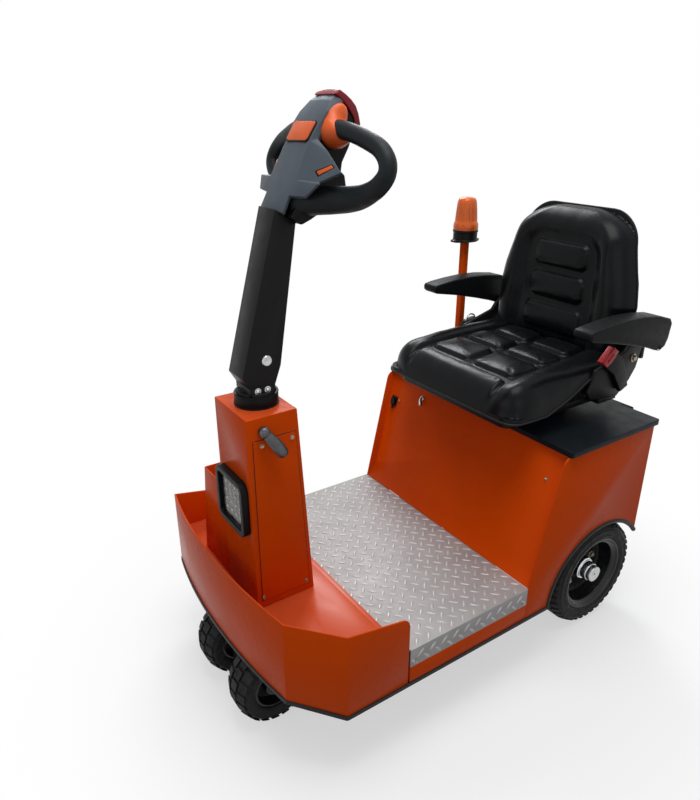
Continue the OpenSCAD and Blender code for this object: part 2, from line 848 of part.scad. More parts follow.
module handle_grips() {
    color("black") head_frame() for (side = [0, 1]) mirror([0, side, 0]) grip_tube();
}

// Lid of the seat box, hinged along its rear edge
lid_t = 15;
lid_over_x = 2;
lid_over_rear = 10;
lid_over_y = 8;
lid_z = box_z + foot_lift;
lid_r = 8;
hinge_r = 8;
hinge_pin_r = 4;
hinge_len = 60;
hinge_y = 230;
hinge_gap = 2;
hinge_x = box_rear_x - lid_over_rear - hinge_r - hinge_gap;
lid_mid_x = (box_front_x + lid_over_x + box_rear_x - lid_over_rear) / 2;
lid_len = box_len + lid_over_x + lid_over_rear;
lid_top = lid_z + lid_t;
hinge_z = lid_top - hinge_r;
hinge_leaf = 3;
hinge_leaf_h = 50;

module seat_lid() {
    color("black") {
        translate([lid_mid_x, 0, lid_z]) linear_extrude(height = lid_t)
            polygon(rounded_rect(lid_len, body_w + 2 * lid_over_y, lid_r, round_steps));
        for (side = [-1, 1]) difference() {
            union() {
                translate([hinge_x, side * hinge_y, hinge_z]) rotate([90, 0, 0])
                    cylinder(r = hinge_r, h = hinge_len, center = true);
                block([hinge_x, side * hinge_y - hinge_len / 2, hinge_z],
                      [hinge_x + 3 * hinge_r, side * hinge_y + hinge_len / 2, lid_top]);
            }
            translate([hinge_x, side * hinge_y, hinge_z]) rotate([90, 0, 0])
                cylinder(r = hinge_pin_r + running_gap, h = hinge_len + 2 * over, center = true);
        }
    }
}

// Hinge pins with the knuckles and leaves that hold them on the box's back
module lid_hinges() {
    color("dimgray") for (side = [-1, 1]) {
        translate([hinge_x, side * hinge_y, hinge_z]) rotate([90, 0, 0])
            cylinder(r = hinge_pin_r, h = 2 * hinge_len, center = true);
        for (end = [-1, 1]) {
            y0 = side * hinge_y + end * (3 * hinge_len / 4 + foot_lift);
            translate([hinge_x, y0, hinge_z]) rotate([90, 0, 0])
                cylinder(r = hinge_r, h = hinge_len / 2, center = true);
            xz_slab(y0, hinge_len / 2) polygon([
                [box_rear_x, hinge_z - hinge_leaf_h], [box_rear_x, box_z - 2 * hinge_r],
                [hinge_x + hinge_r / 2, box_z - hinge_r], [hinge_x + hinge_r / 2, hinge_z],
                [hinge_x - hinge_r / 2, hinge_z], [hinge_x - hinge_r / 2, box_z - hinge_r],
                [box_rear_x - hinge_leaf, hinge_z - hinge_leaf_h]]);
        }
    }
}

// Seat: rails, pan, cushion, backrest, brackets, armrests and belt
rail_seat_w = 34;
rail_seat_h = 24;
rail_seat_y = 150;
rail_seat_len = 330;
seat_lead = 85;
seat_front_x = box_front_x + seat_lead;
seat_rear_x = seat_front_x - seat_len;
pan_z = lid_top + rail_seat_h;
pan_t = 22;
pan_in = 30;
cushion_z = pan_z + pan_t + foot_lift;
cushion_front_h = 84;
cushion_rear_h = 104;
cushion_r = 30;

module seat_rails() {
    color("dimgray") for (side = [-1, 1])
        block([seat_rear_x + 2 * pan_in, side * rail_seat_y - rail_seat_w / 2, lid_top],
              [seat_rear_x + 2 * pan_in + rail_seat_len, side * rail_seat_y + rail_seat_w / 2, pan_z]);
}

module seat_pan() {
    color("black") translate([(seat_front_x + seat_rear_x) / 2, 0, pan_z]) linear_extrude(height = pan_t)
        polygon(rounded_rect(seat_len - pan_in, seat_w - 2 * pan_in, cushion_r, round_steps));
}

module seat_cushion() {
    color("black") hull() {
        for (side = [-1, 1]) {
            for (end = [0, 1]) {
                x = end > 0 ? seat_front_x - cushion_r : seat_rear_x + cushion_r;
                h = end > 0 ? cushion_front_h : cushion_rear_h;
                y = side * (seat_w / 2 - cushion_r);
                translate([x, y, cushion_z]) cylinder(r = cushion_r, h = h - cushion_r, $fn = hull_fn);
                translate([x, y, cushion_z + h - cushion_r]) sphere(r = cushion_r, $fn = hull_fn);
            }
        }
    }
}

back_lean = 4;
back_t = 62;
shell_t = 26;
back_gap = 1.5;
back_up = 26;
back_x = seat_rear_x - back_gap;
back_z = cushion_z + back_up;
back_r = 28;

// Half outline of the backrest: shares of its height, and of its half width
back_shares = [[0.0, 0.92], [0.40, 1.0], [0.80, 0.89], [0.93, 0.80], [1.0, 0.60]];

// Frame of the backrest: Z up along it, X out of its front
module back_frame() {
    translate([back_x, 0, back_z]) rotate([0, -back_lean, 0]) children();
}

// A point of the backrest's half outline, moved in by r all round
function back_point(p, r) = [p[1] * back_w / 2 - r, r + p[0] * (back_h - 2 * r)];

module backrest_pad() {
    color("black") back_frame() hull() {
        for (side = [-1, 1], p = back_shares, depth = [back_r - back_t, -back_r]) {
            q = back_point(p, back_r);
            translate([depth, side * q[0], q[1]]) sphere(r = back_r, $fn = hull_fn);
        }
    }
}

module backrest_shell() {
    half = [for (p = back_shares) back_point(p, back_r)];
    color("black") back_frame() yz_slab(-back_t - shell_t - foot_lift, shell_t) polygon(concat(
        half, [for (i = [len(half) - 1 : -1 : 0]) [-half[i][0], half[i][1]]]));
}

// Side brackets carry the backrest and armrests from the pan
bracket_t = 6;
bracket_gap = 4;
bracket_y = seat_w / 2 + bracket_gap;
bracket_len = 240;
bracket_h = 174;
bracket_lead = 120;
bracket_up = 19;
bracket_front_x = seat_rear_x + bracket_lead;
bracket_z = pan_z + bracket_up;
web_t = 12;

// Outline of a bracket: shares of its length from the front, and of its height
bracket_shares = [
    [0.0, 0.24], [0.08, 0.09], [0.34, 0.02], [0.58, 0.0], [0.80, 0.22], [0.95, 0.45], [1.0, 0.76],
    [0.96, 0.95], [0.84, 1.0], [0.70, 0.885], [0.63, 0.77], [0.38, 0.68], [0.125, 0.575]];
// Ends of a bracket's foot, as shares of its length from the front
foot_shares = [0.12, 0.40];

module seat_brackets() {
    color("dimgray") for (side = [0, 1]) mirror([0, side, 0]) {
        foot_x0 = bracket_front_x - foot_shares[1] * bracket_len;
        foot_x1 = bracket_front_x - foot_shares[0] * bracket_len;
        xz_slab(bracket_y + bracket_t / 2, bracket_t) polygon([
            for (p = bracket_shares) [bracket_front_x - p[0] * bracket_len, bracket_z + p[1] * bracket_h]]);
        // Foot of the bracket, in to the pan
        block([foot_x0, seat_w / 2 - pan_in, pan_z], [foot_x1, bracket_y + bracket_t, pan_z + web_t]);
        block([foot_x0, bracket_y, pan_z], [foot_x1, bracket_y + bracket_t, bracket_z + bracket_up]);
        // Arm behind the backrest shell
        arm_n = -back_t - shell_t - 2 * foot_lift;
        back_frame()
            block([arm_n - web_t, back_w / 2 - 2 * back_r, 2 * back_r],
                  [arm_n, bracket_y + bracket_t, 4 * back_r]);
    }
}

// Armrests fold up about a pin through each bracket's head
armrest_w = 60;
armrest_len = 409;
armrest_h = 131;
armrest_rear = 73;
armrest_foot = 15.3;
armrest_pin_r = 9;
armrest_boss_r = 20;
pin_back = 88.5;
pin_up = 172;
armrest_x = back_x - pin_back;
armrest_z = pan_z + pin_up;

// Outline of an armrest: shares of its length from the rear, and of its height
armrest_shares = [
    [0.0, 0.55], [0.05, 0.69], [0.25, 0.885], [0.42, 0.97], [0.565, 1.0], [0.76, 0.99], [0.93, 0.945],
    [0.985, 0.92], [1.0, 0.87], [0.975, 0.73], [0.915, 0.62], [0.70, 0.45], [0.385, 0.215],
    [0.22, 0.045], [0.135, 0.0], [0.06, 0.045], [0.02, 0.23]];

module armrest(side) {
    y_mid = side * arm_span / 2;
    pin_y0 = bracket_y + bracket_t + foot_lift;
    y_len = arm_span / 2 - armrest_w / 2 - pin_y0;
    color("black") difference() {
        union() {
            xz_slab(y_mid, armrest_w) polygon([for (p = armrest_shares) [
                armrest_x - armrest_rear + p[0] * armrest_len, armrest_z - armrest_foot + p[1] * armrest_h]]);
            translate([armrest_x, side * (pin_y0 + y_len / 2), armrest_z]) rotate([90, 0, 0])
                cylinder(r = armrest_boss_r, h = y_len, center = true);
        }
        translate([armrest_x, y_mid, armrest_z]) rotate([90, 0, 0])
            cylinder(r = armrest_pin_r + running_gap, h = 2 * armrest_w, center = true);
    }
}

module armrest_left() {
    armrest(1);
}

module armrest_right() {
    armrest(-1);
}

// Pins through the brackets that the armrests turn on
module armrest_pins() {
    pin_y1 = arm_span / 2 + armrest_w / 2;
    color("silver") for (side = [-1, 1])
        translate([armrest_x, side * (bracket_y + bracket_t + pin_y1) / 2, armrest_z]) rotate([90, 0, 0])
            cylinder(r = armrest_pin_r, h = pin_y1 - bracket_y - bracket_t, center = true);
}

// Belt buckle on the left bracket and belt reel on the right one
buckle_size = [30, 16, 62];
reel_size = [58, 26, 52];
// Places of both on the bracket, as shares of its length and height
buckle_shares = [0.47, 0.30];
reel_shares = [0.44, 0.17];

module belt_buckle() {
    color("firebrick") translate([bracket_front_x - buckle_shares[0] * bracket_len, bracket_y + bracket_t,
                                  bracket_z + buckle_shares[1] * bracket_h]) cube(buckle_size);
}

module belt_reel() {
    color("dimgray") translate([bracket_front_x - reel_shares[0] * bracket_len,
                                -bracket_y - bracket_t - reel_size[1],
                                bracket_z + reel_shares[1] * bracket_h]) cube(reel_size);
}

// Beacon on its pole at the rear right of the lid
pole_back = 54;
pole_x = rear_axle_x - pole_back;
pole_in = 15.5;
arm_clear = 5;
arm_out_y = (arm_span + armrest_w) / 2;
pole_y = -max(half_w + lid_over_y - pole_in, arm_out_y + arm_clear + lens_r);
pole_w = 22;
pole_foot = 60;
pole_foot_w = 28;
pole_foot_t = 6;
base_h = 26;
flange_len = 104;
flange_w = 58;
flange_t = 6;
lens_top_r = 31;
dome_h = 14;

module beacon_pole() {
    color("orangered") translate([pole_x, pole_y, lid_top]) {
        block([-pole_foot / 2, -pole_foot_w / 2, 0],
              [pole_foot / 2, pole_foot_w - half_w - pole_y, pole_foot_t]);
        translate([-pole_w / 2, -pole_w / 2, 0]) cube([pole_w, pole_w, pole_h]);
    }
}

module beacon_base() {
    color("black") translate([pole_x, pole_y, lid_top + pole_h]) {
        translate([-flange_len / 2, -flange_w / 2, 0]) cube([flange_len, flange_w, flange_t]);
        cylinder(r = lens_r, h = base_h);
    }
}

module beacon_lens() {
    color("orange") translate([pole_x, pole_y, lid_top + pole_h + base_h]) rotate_extrude() polygon([
        [0, 0], [lens_r, 0], [lens_top_r, lens_h - dome_h], [lens_top_r - dome_h, lens_h], [0, lens_h]]);
}

chassis_frame();
nose_panel();
nose_deck();
floor_plate();
steering_column();
column_cover();
storage_bin();
lamp_housing();
lamp_lens();
column_collar();
clamp_levers();
key_switch();
box_side_left();
box_side_right();
box_front();
box_rear();
panel_latches();
battery();
drive_axle();
drive_motor();
rear_rim_left();
rear_tyre_left();
rear_rim_right();
rear_tyre_right();
steer_carrier();
front_rims();
front_tyres();
tow_hitch();
tiller_foot();
tiller_arm();
tiller_head();
tiller_core();
stop_cap();
head_switches();
thumb_wheels();
handle_grips();
seat_lid();
lid_hinges();
seat_rails();
seat_pan();
seat_cushion();
backrest_pad();
backrest_shell();
seat_brackets();
armrest_left();
armrest_right();
armrest_pins();
belt_buckle();
belt_reel();
beacon_pole();
beacon_base();
beacon_lens();
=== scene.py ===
# %% [markdown]
# # A seated electric tow tractor
# The real vehicle is a folded steel tub on four wheels. A driver sits on the battery box
# and steers the front wheels with a tiller. The CAD frame already holds every solid in
# its place, so this lesson only adds looks: eased edges, trim, bolts, tread, upholstery
# and paint. Each step tells what the real piece is, and why it is made this way.

# %% Load the frame
import json
import math

import bmesh
import bpy
from mathutils import Matrix, Vector, noise

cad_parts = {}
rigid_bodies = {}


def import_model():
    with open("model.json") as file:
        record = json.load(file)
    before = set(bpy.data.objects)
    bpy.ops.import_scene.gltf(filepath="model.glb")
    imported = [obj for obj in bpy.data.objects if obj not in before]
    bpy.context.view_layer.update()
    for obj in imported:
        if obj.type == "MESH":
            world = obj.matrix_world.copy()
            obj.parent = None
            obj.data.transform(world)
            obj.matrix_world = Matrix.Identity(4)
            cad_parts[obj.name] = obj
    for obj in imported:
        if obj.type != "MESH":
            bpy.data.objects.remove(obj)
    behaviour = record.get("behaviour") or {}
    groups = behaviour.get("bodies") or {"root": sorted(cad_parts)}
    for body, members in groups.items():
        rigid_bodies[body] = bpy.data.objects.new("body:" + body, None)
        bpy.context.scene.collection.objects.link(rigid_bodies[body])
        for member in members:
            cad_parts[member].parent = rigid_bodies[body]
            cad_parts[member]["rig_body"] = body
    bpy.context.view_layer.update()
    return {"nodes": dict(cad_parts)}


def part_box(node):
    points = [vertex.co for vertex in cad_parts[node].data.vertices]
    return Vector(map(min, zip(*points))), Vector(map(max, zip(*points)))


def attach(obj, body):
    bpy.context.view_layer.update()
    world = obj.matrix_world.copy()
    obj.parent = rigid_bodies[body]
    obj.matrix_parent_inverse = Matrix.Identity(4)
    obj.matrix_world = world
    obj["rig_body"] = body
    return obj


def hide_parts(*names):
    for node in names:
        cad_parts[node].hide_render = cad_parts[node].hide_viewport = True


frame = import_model()

# %% [markdown]
# ## Camera
# The picture was taken from the front left, a little above eye level of the driver.
# The lens and place were worked out from straight edges of known length, so the render
# can be laid over the picture. A camera could also be placed by eye, but then every
# later comparison would carry that error.

# %% Camera
camera_data = bpy.data.cameras.new("picture_camera")
camera_data.sensor_width = 36.0
camera_data.lens = 30.3
camera_data.clip_start = 0.05
camera = bpy.data.objects.new("picture_camera", camera_data)
camera.location = (1.161, 1.334, 1.485)
camera.rotation_euler = (math.radians(66.6), 0.0, math.radians(-213.91))
bpy.context.scene.collection.objects.link(camera)
bpy.context.scene.camera = camera
print("Camera stands at", tuple(camera.location), "with a lens of", camera_data.lens, "mm")

# %% [markdown]
# ## Floor and light
# A pale floor keeps the soft shadow. A compact lamp above works like an overcast sky, a
# second one stands behind on the right like a window and draws the highlights, and two
# wide fills lift the left side and the front. The world is seen as white by the camera
# and by reflections, but lights the vehicle with less than that.

# %% Node helpers
def feed(tree, socket, value):
    """Sets an input to a value, or links it to the output of another node."""
    if isinstance(value, bpy.types.NodeSocket):
        tree.links.new(value, socket)
    else:
        socket.default_value = value


def node_of(tree, kind, inputs=None, **settings):
    """A new node with its settings and its inputs."""
    made = tree.nodes.new(kind)
    for key, value in settings.items():
        setattr(made, key, value)
    for key, value in (inputs or {}).items():
        feed(tree, made.inputs[key], value)
    return made


def seen_rays(tree):
    """1 for rays that show a thing directly, in a mirror or through glass, and 0 for rays that light it."""
    path = node_of(tree, "ShaderNodeLightPath").outputs
    shown = node_of(tree, "ShaderNodeMath", {0: path["Is Camera Ray"], 1: path["Is Glossy Ray"]}, operation="MAXIMUM")
    through = {0: shown.outputs[0], 1: path["Is Transmission Ray"]}
    return node_of(tree, "ShaderNodeMath", through, operation="MAXIMUM").outputs[0]


def two_tints(tree, fac, dark, light):
    """A colour between two, picked by a factor."""
    made = node_of(tree, "ShaderNodeValToRGB", {"Fac": fac})
    made.color_ramp.elements[0].color = dark
    made.color_ramp.elements[1].color = light
    return made


def grey(value):
    return (value, value, value, 1.0)


print("Node helpers are ready")


# %% World and lamps
def lamp(name, place, aim, size, watts, colour=(1.0, 1.0, 1.0)):
    data = bpy.data.lights.new(name, "AREA")
    data.shape = "RECTANGLE"
    data.size, data.size_y = size
    data.energy = watts
    data.color = colour
    holder = bpy.data.objects.new(name, data)
    holder.location = place
    holder.rotation_euler = (Vector(aim) - Vector(place)).to_track_quat("-Z", "Y").to_euler()
    bpy.context.scene.collection.objects.link(holder)


scene = bpy.context.scene
scene.view_settings.view_transform = "Standard"
world = bpy.data.worlds.new("studio")
scene.world = world
world.use_nodes = True
sky = world.node_tree
sky.nodes.clear()
sky_light = node_of(sky, "ShaderNodeBackground", {"Color": (0.93, 0.96, 1.0, 1.0), "Strength": 0.3})
sky_seen = node_of(sky, "ShaderNodeBackground", {"Color": grey(1.0)})
sky_mix = node_of(sky, "ShaderNodeMixShader",
                  {"Fac": seen_rays(sky), 1: sky_light.outputs[0], 2: sky_seen.outputs[0]})
node_of(sky, "ShaderNodeOutputWorld", {"Surface": sky_mix.outputs[0]})

lamp("sky_lamp", (0.2, 0.3, 3.4), (0.0, 0.0, 0.4), (1.7, 1.7), 53.0)
lamp("sky_window", (-1.15, -2.35, 2.95), (0.3, 0.2, 0.4), (1.5, 1.1), 66.0, (0.94, 0.97, 1.0))
lamp("left_fill", (1.2, 3.4, 1.9), (0.0, 0.0, 0.5), (2.4, 2.0), 12.0)
lamp("front_fill", (3.6, 0.4, 1.6), (0.2, 0.0, 0.7), (2.2, 2.0), 10.0)

# %% [markdown]
# The floor fades into white away from the vehicle, so no horizon shows. It is also darker
# for the rays that only carry light, or it would throw too much of it up under the body.

# %% Floor
FLOOR_REACH, FLOOR_DROP = 9.0, 0.001
floor_mesh = bpy.data.meshes.new("floor")
floor_corners = [(x * FLOOR_REACH, y * FLOOR_REACH, 0.0) for x, y in ((-1, -1), (1, -1), (1, 1), (-1, 1))]
floor_mesh.from_pydata(floor_corners, [], [(0, 1, 2, 3)])
floor = bpy.data.objects.new("floor", floor_mesh)
floor.location.z = -FLOOR_DROP
scene.collection.objects.link(floor)
floor_paint = bpy.data.materials.new("pale_floor")
floor_paint.use_nodes = True
ground = floor_paint.node_tree
ground_seen = seen_rays(ground)
spot = node_of(ground, "ShaderNodeTexCoord").outputs["Object"]
speckle = node_of(ground, "ShaderNodeTexNoise", {"Vector": spot, "Scale": 900.0})
pale = two_tints(ground, speckle.outputs["Fac"], grey(0.92), grey(0.96))
ground_tint = node_of(ground, "ShaderNodeMix", {"A": grey(0.34), "Factor": ground_seen, "B": pale.outputs["Color"]},
                      data_type="RGBA")
ground_shader = ground.nodes["Principled BSDF"]
for key, value in (("Roughness", 0.9), ("Specular IOR Level", 0.1), ("Base Color", ground_tint.outputs["Result"])):
    feed(ground, ground_shader.inputs[key], value)
far = node_of(ground, "ShaderNodeVectorMath", {0: spot}, operation="LENGTH")
fade = node_of(ground, "ShaderNodeMapRange", {"Value": far.outputs["Value"], "From Min": 0.55, "From Max": 1.3,
                                              "To Min": 0.55}, interpolation_type="SMOOTHSTEP")
white = node_of(ground, "ShaderNodeMath", {0: fade.outputs["Result"], 1: ground_seen}, operation="MULTIPLY")
glow = node_of(ground, "ShaderNodeEmission")
ground_mix = node_of(ground, "ShaderNodeMixShader",
                     {"Fac": white.outputs[0], 1: ground_shader.outputs[0], 2: glow.outputs[0]})
feed(ground, ground.nodes["Material Output"].inputs["Surface"], ground_mix.outputs[0])
floor_mesh.materials.append(floor_paint)
print("Floor reaches", FLOOR_REACH, "m each way")

# %% [markdown]
# ## Finishes
# Every surface here is one of a few families: sprayed paint, bare metal, moulded
# plastic, rubber and leather cloth. They share one recipe. A slow noise shifts the colour
# a little, a second one shifts the gloss, and a fine grain tilts the surface so that
# highlights break up as they do on the real thing. Pictures could be wrapped on instead,
# but a recipe in object space has no seams and stays sharp from any distance.

# %% The shared recipe
# The pale tint of upward faces stands for real dust and for a painted sky sheen on the tops.
DUST_AND_SHEEN_COLOUR = (0.42, 0.4, 0.37, 1.0)


def shade(colour, by):
    return tuple(min(1.0, max(0.0, c * by)) for c in colour) + (1.0,)


def surface(name, colour, gloss, metal=0.0, drift=0.12, patch=0.05, grain=0.2, grain_size=0.001,
            grain_depth=0.0002, gloss_drift=0.06, dust_and_sheen=0.0, shine=0.5, cells=False, sheen=0.0):
    """A finish: its colour drifts over patches, and a grain of the given size breaks its gloss."""
    made = bpy.data.materials.new(name)
    made.use_nodes = True
    tree = made.node_tree
    where = node_of(tree, "ShaderNodeTexCoord").outputs["Object"]
    slow = node_of(tree, "ShaderNodeTexNoise", {"Vector": where, "Scale": 1.0 / patch, "Detail": 4.0}).outputs["Fac"]
    tint = two_tints(tree, slow, shade(colour, 1.0 - drift), shade(colour, 1.0 + drift))
    tint.color_ramp.elements[0].position = 0.3
    tint.color_ramp.elements[1].position = 0.7
    base = tint.outputs["Color"]
    # Upward faces turn paler: partly real dust, partly a painted sky sheen on the tops.
    if dust_and_sheen > 0.0:
        facing = node_of(tree, "ShaderNodeNewGeometry").outputs["Normal"]
        upward = node_of(tree, "ShaderNodeSeparateXYZ", {0: facing}).outputs["Z"]
        lies = node_of(tree, "ShaderNodeMapRange",
                       {"Value": upward, "From Min": 0.5, "From Max": 1.0, "To Max": dust_and_sheen})
        dust_and_sheen_mask = node_of(tree, "ShaderNodeMath", {0: lies.outputs["Result"], 1: slow}, operation="MULTIPLY")
        base = node_of(tree, "ShaderNodeMix", {"Factor": dust_and_sheen_mask.outputs[0], "A": base, "B": DUST_AND_SHEEN_COLOUR},
                       data_type="RGBA").outputs["Result"]
    mottle = node_of(tree, "ShaderNodeTexNoise", {"Vector": where, "Scale": 3.0 / patch, "Detail": 6.0})
    rough = node_of(tree, "ShaderNodeMapRange",
                    {"Value": mottle.outputs["Fac"], "From Min": 0.3, "From Max": 0.7,
                     "To Min": max(0.02, gloss - gloss_drift), "To Max": min(1.0, gloss + gloss_drift)})
    fine = {"Vector": where, "Scale": 1.0 / grain_size}
    if cells:
        height = node_of(tree, "ShaderNodeTexVoronoi", fine, feature="SMOOTH_F1").outputs["Distance"]
    else:
        height = node_of(tree, "ShaderNodeTexNoise", {**fine, "Detail": 3.0}).outputs["Fac"]
    tilt = node_of(tree, "ShaderNodeBump", {"Strength": grain, "Distance": grain_depth, "Height": height})
    look = {"Metallic": metal, "Specular IOR Level": shine, "Sheen Weight": sheen, "Base Color": base,
            "Roughness": rough.outputs["Result"], "Normal": tilt.outputs["Normal"]}
    for key, value in look.items():
        feed(tree, tree.nodes["Principled BSDF"].inputs[key], value)
    return made


def clear_plastic(name, dark, light, passes, bend, speckle, smoothest, roughest):
    """A see-through finish whose colour and gloss drift a little."""
    made = bpy.data.materials.new(name)
    made.use_nodes = True
    tree = made.node_tree
    where = node_of(tree, "ShaderNodeTexCoord").outputs["Object"]
    drift = node_of(tree, "ShaderNodeTexNoise", {"Vector": where, "Scale": speckle}).outputs["Fac"]
    rough = node_of(tree, "ShaderNodeMapRange", {"Value": drift, "To Min": smoothest, "To Max": roughest})
    look = {"Base Color": two_tints(tree, drift, dark, light).outputs["Color"], "Transmission Weight": passes,
            "IOR": bend, "Roughness": rough.outputs["Result"]}
    for key, value in look.items():
        feed(tree, tree.nodes["Principled BSDF"].inputs[key], value)
    return made


# %% [markdown]
# The paint is a thick orange powder coat. It flows together in the oven and keeps a
# slight orange-peel skin, so its grain is a few millimetres wide and shallow. The black
# parts differ mainly in gloss: satin paint on the tiller, matt rubber on the grips, soft
# shine on the seat. That is why each gets a finish of its own and not one shared black.

# %% The vehicle's finishes
orange_coat = surface("orange_powder_coat", (0.62, 0.062, 0.0015), 0.28, drift=0.05, patch=0.3, grain=0.12,
                      grain_size=0.004, grain_depth=0.0003, gloss_drift=0.04, dust_and_sheen=0.08, shine=0.032)
deck_coat = surface("deck_powder_coat", (0.62, 0.066, 0.003), 0.3, drift=0.06, patch=0.2, grain=0.25,
                    grain_size=0.003, grain_depth=0.0003, gloss_drift=0.05, dust_and_sheen=0.12, shine=0.2)
plate_metal = surface("rolled_checker_plate", (0.37, 0.355, 0.35), 0.52, metal=0.15, drift=0.08, patch=0.07,
                      grain_size=0.0016, gloss_drift=0.08, dust_and_sheen=0.1, shine=0.25)
lug_foot_shade = surface("lug_foot_painted_shade", (0.15, 0.145, 0.14), 0.7, drift=0.3, patch=0.03, grain=0.3, grain_depth=0.0001,
                   shine=0.1)
lug_metal = surface("worn_lug_metal", (0.46, 0.445, 0.44), 0.42, metal=0.25, patch=0.02, grain_size=0.0012,
                    grain_depth=0.0001, gloss_drift=0.08)
trim_rubber = surface("edge_trim_rubber", (0.006, 0.006, 0.0065), 0.5, drift=0.15, grain=0.3, grain_size=0.0015,
                      shine=0.2)
satin_black = surface("satin_black_paint", (0.0075, 0.0075, 0.008), 0.4, patch=0.08, grain=0.35, grain_size=0.0014,
                      grain_depth=0.00025, dust_and_sheen=0.02, shine=0.12)
moulded_black = surface("moulded_black_plastic", (0.005, 0.005, 0.0055), 0.42, patch=0.06, grain=0.35,
                        grain_size=0.0012, dust_and_sheen=0.01, shine=0.1)
lid_black = surface("lid_rubber_mat", (0.0035, 0.006, 0.0085), 0.4, drift=0.14, patch=0.1, grain=0.4,
                    grain_depth=0.0003, dust_and_sheen=0.01, shine=0.08)
head_grey = surface("slate_grey_plastic", (0.066, 0.082, 0.1), 0.5, drift=0.06, patch=0.1, grain=0.45,
                    grain_size=0.0009, shine=0.2)
switch_orange = surface("switch_orange_plastic", (0.66, 0.1, 0.016), 0.4, drift=0.06, patch=0.04, grain_depth=0.0001,
                        shine=0.25)
stop_red = surface("stop_red_plastic", (0.22, 0.006, 0.014), 0.3, drift=0.1, grain=0.15, grain_depth=0.0001,
                   shine=0.3)
buckle_red = surface("buckle_red_plastic", (0.45, 0.01, 0.018), 0.35, drift=0.08, patch=0.02, grain=0.15,
                     grain_depth=0.0001, shine=0.3)
grip_rubber = surface("grip_rubber", (0.0075, 0.0105, 0.012), 0.48, drift=0.1, grain=0.4, grain_size=0.0011,
                      dust_and_sheen=0.01, shine=0.14)
tyre_rubber = surface("tyre_rubber", (0.009, 0.009, 0.0095), 0.66, drift=0.25, grain=0.45, grain_size=0.0018,
                      grain_depth=0.0004, gloss_drift=0.12, dust_and_sheen=0.06, shine=0.2)
rim_black = surface("rim_black_paint", (0.006, 0.006, 0.0065), 0.28, grain_size=0.002, dust_and_sheen=0.02, shine=0.3)
bare_steel = surface("bare_steel", (0.5, 0.51, 0.52), 0.32, metal=1.0, patch=0.03, grain=0.25, grain_size=0.0009,
                     grain_depth=0.0001, gloss_drift=0.12)
zinc_bolt = surface("zinc_plated_bolt", (0.3, 0.26, 0.2), 0.34, metal=1.0, drift=0.22, patch=0.006, grain_size=0.0006,
                    grain_depth=0.0001, gloss_drift=0.12)
seat_leather = surface("seat_leather_cloth", (0.0024, 0.003, 0.0039), 0.3, drift=0.16, patch=0.06, grain=0.14,
                       grain_size=0.0022, gloss_drift=0.04, shine=0.11, cells=True, sheen=0.01)
arm_skin = surface("armrest_foam_skin", (0.006, 0.0065, 0.0072), 0.42, grain=0.45, grain_size=0.0015,
                   grain_depth=0.0003, shine=0.07, cells=True)
cast_grey = surface("cast_housing", (0.05, 0.05, 0.053), 0.55, metal=0.3, drift=0.2, grain=0.5, grain_size=0.002,
                    grain_depth=0.0004, shine=0.3)
battery_case = surface("battery_case", (0.03, 0.033, 0.04), 0.5, drift=0.1, patch=0.08, grain=0.3, grain_size=0.002,
                       shine=0.3)
print("Finishes made:", len(bpy.data.materials))

# %% [markdown]
# ## Mesh helpers
# A few small tools make most of the pieces: a slab from an outline, a turned shape from
# a profile, and a tube along a path. Blender's own primitives would do too, but these
# take sizes in millimetres, straight from the drawing, in the frame's own axes.

# %% Slab and turned shape
MM = 0.001


def slab(bm, corners, thickness):
    """A flat solid: corners of one face in millimetres, and the way to the other face."""
    step = Vector(thickness) * MM
    near = [bm.verts.new(Vector(c) * MM) for c in corners]
    far = [bm.verts.new(v.co + step) for v in near]
    bm.faces.new(near[::-1])
    bm.faces.new(far)
    for i in range(len(near)):
        j = (i + 1) % len(near)
        bm.faces.new((near[i], near[j], far[j], far[i]))


def side_slab(bm, line, y, thick):
    """A plate seen from the side: an outline of x and z, its place across and its thickness."""
    slab(bm, [(x, y, z) for x, z in line], (0, thick, 0))


def skin(bm, rings, wrap=True, loop=False):
    """Joins neighbouring rings of vertices. Wrap closes each ring, loop joins the last one to the first."""
    for a, b in zip(rings, rings[1:] + rings[:1] if loop else rings[1:]):
        for k in range(len(a) if wrap else len(a) - 1):
            m = (k + 1) % len(a)
            bm.faces.new((a[k], a[m], b[m], b[k]))


def turned(bm, profile, centre, axis="Y", steps=72, closed=False, way=1):
    """A turned shape: pairs of radius and place along the axis, which way turns round."""
    spots = {"X": lambda r, t, h: (h, r * math.cos(t), r * math.sin(t)),
             "Y": lambda r, t, h: (r * math.cos(t), h, r * math.sin(t)),
             "Z": lambda r, t, h: (r * math.cos(t), r * math.sin(t), h)}[axis]
    middle = Vector(centre)
    rings = []
    for i in range(steps):
        t = 2.0 * math.pi * i / steps
        rings.append([bm.verts.new((middle + Vector(spots(r, t, way * h))) * MM) for r, h in profile])
    skin(bm, rings, closed, True)
    bmesh.ops.remove_doubles(bm, verts=[v for ring in rings for v in ring], dist=1e-6)


print("Slabs and turned shapes are ready")


# %% Paths, tubes and tables
def smooth_path(points, per=6):
    """Points along a smooth curve through the given ones."""
    spots = [Vector(p) for p in points]
    path = []
    for i in range(len(spots) - 1):
        p0, p1 = spots[max(i - 1, 0)], spots[i]
        p2, p3 = spots[i + 1], spots[min(i + 2, len(spots) - 1)]
        for k in range(per):
            t = k / per
            path.append(0.5 * (2 * p1 + (p2 - p0) * t + (2 * p0 - 5 * p1 + 4 * p2 - p3) * t * t
                               + (3 * p1 - p0 - 3 * p2 + p3) * t ** 3))
    path.append(spots[-1])
    return path


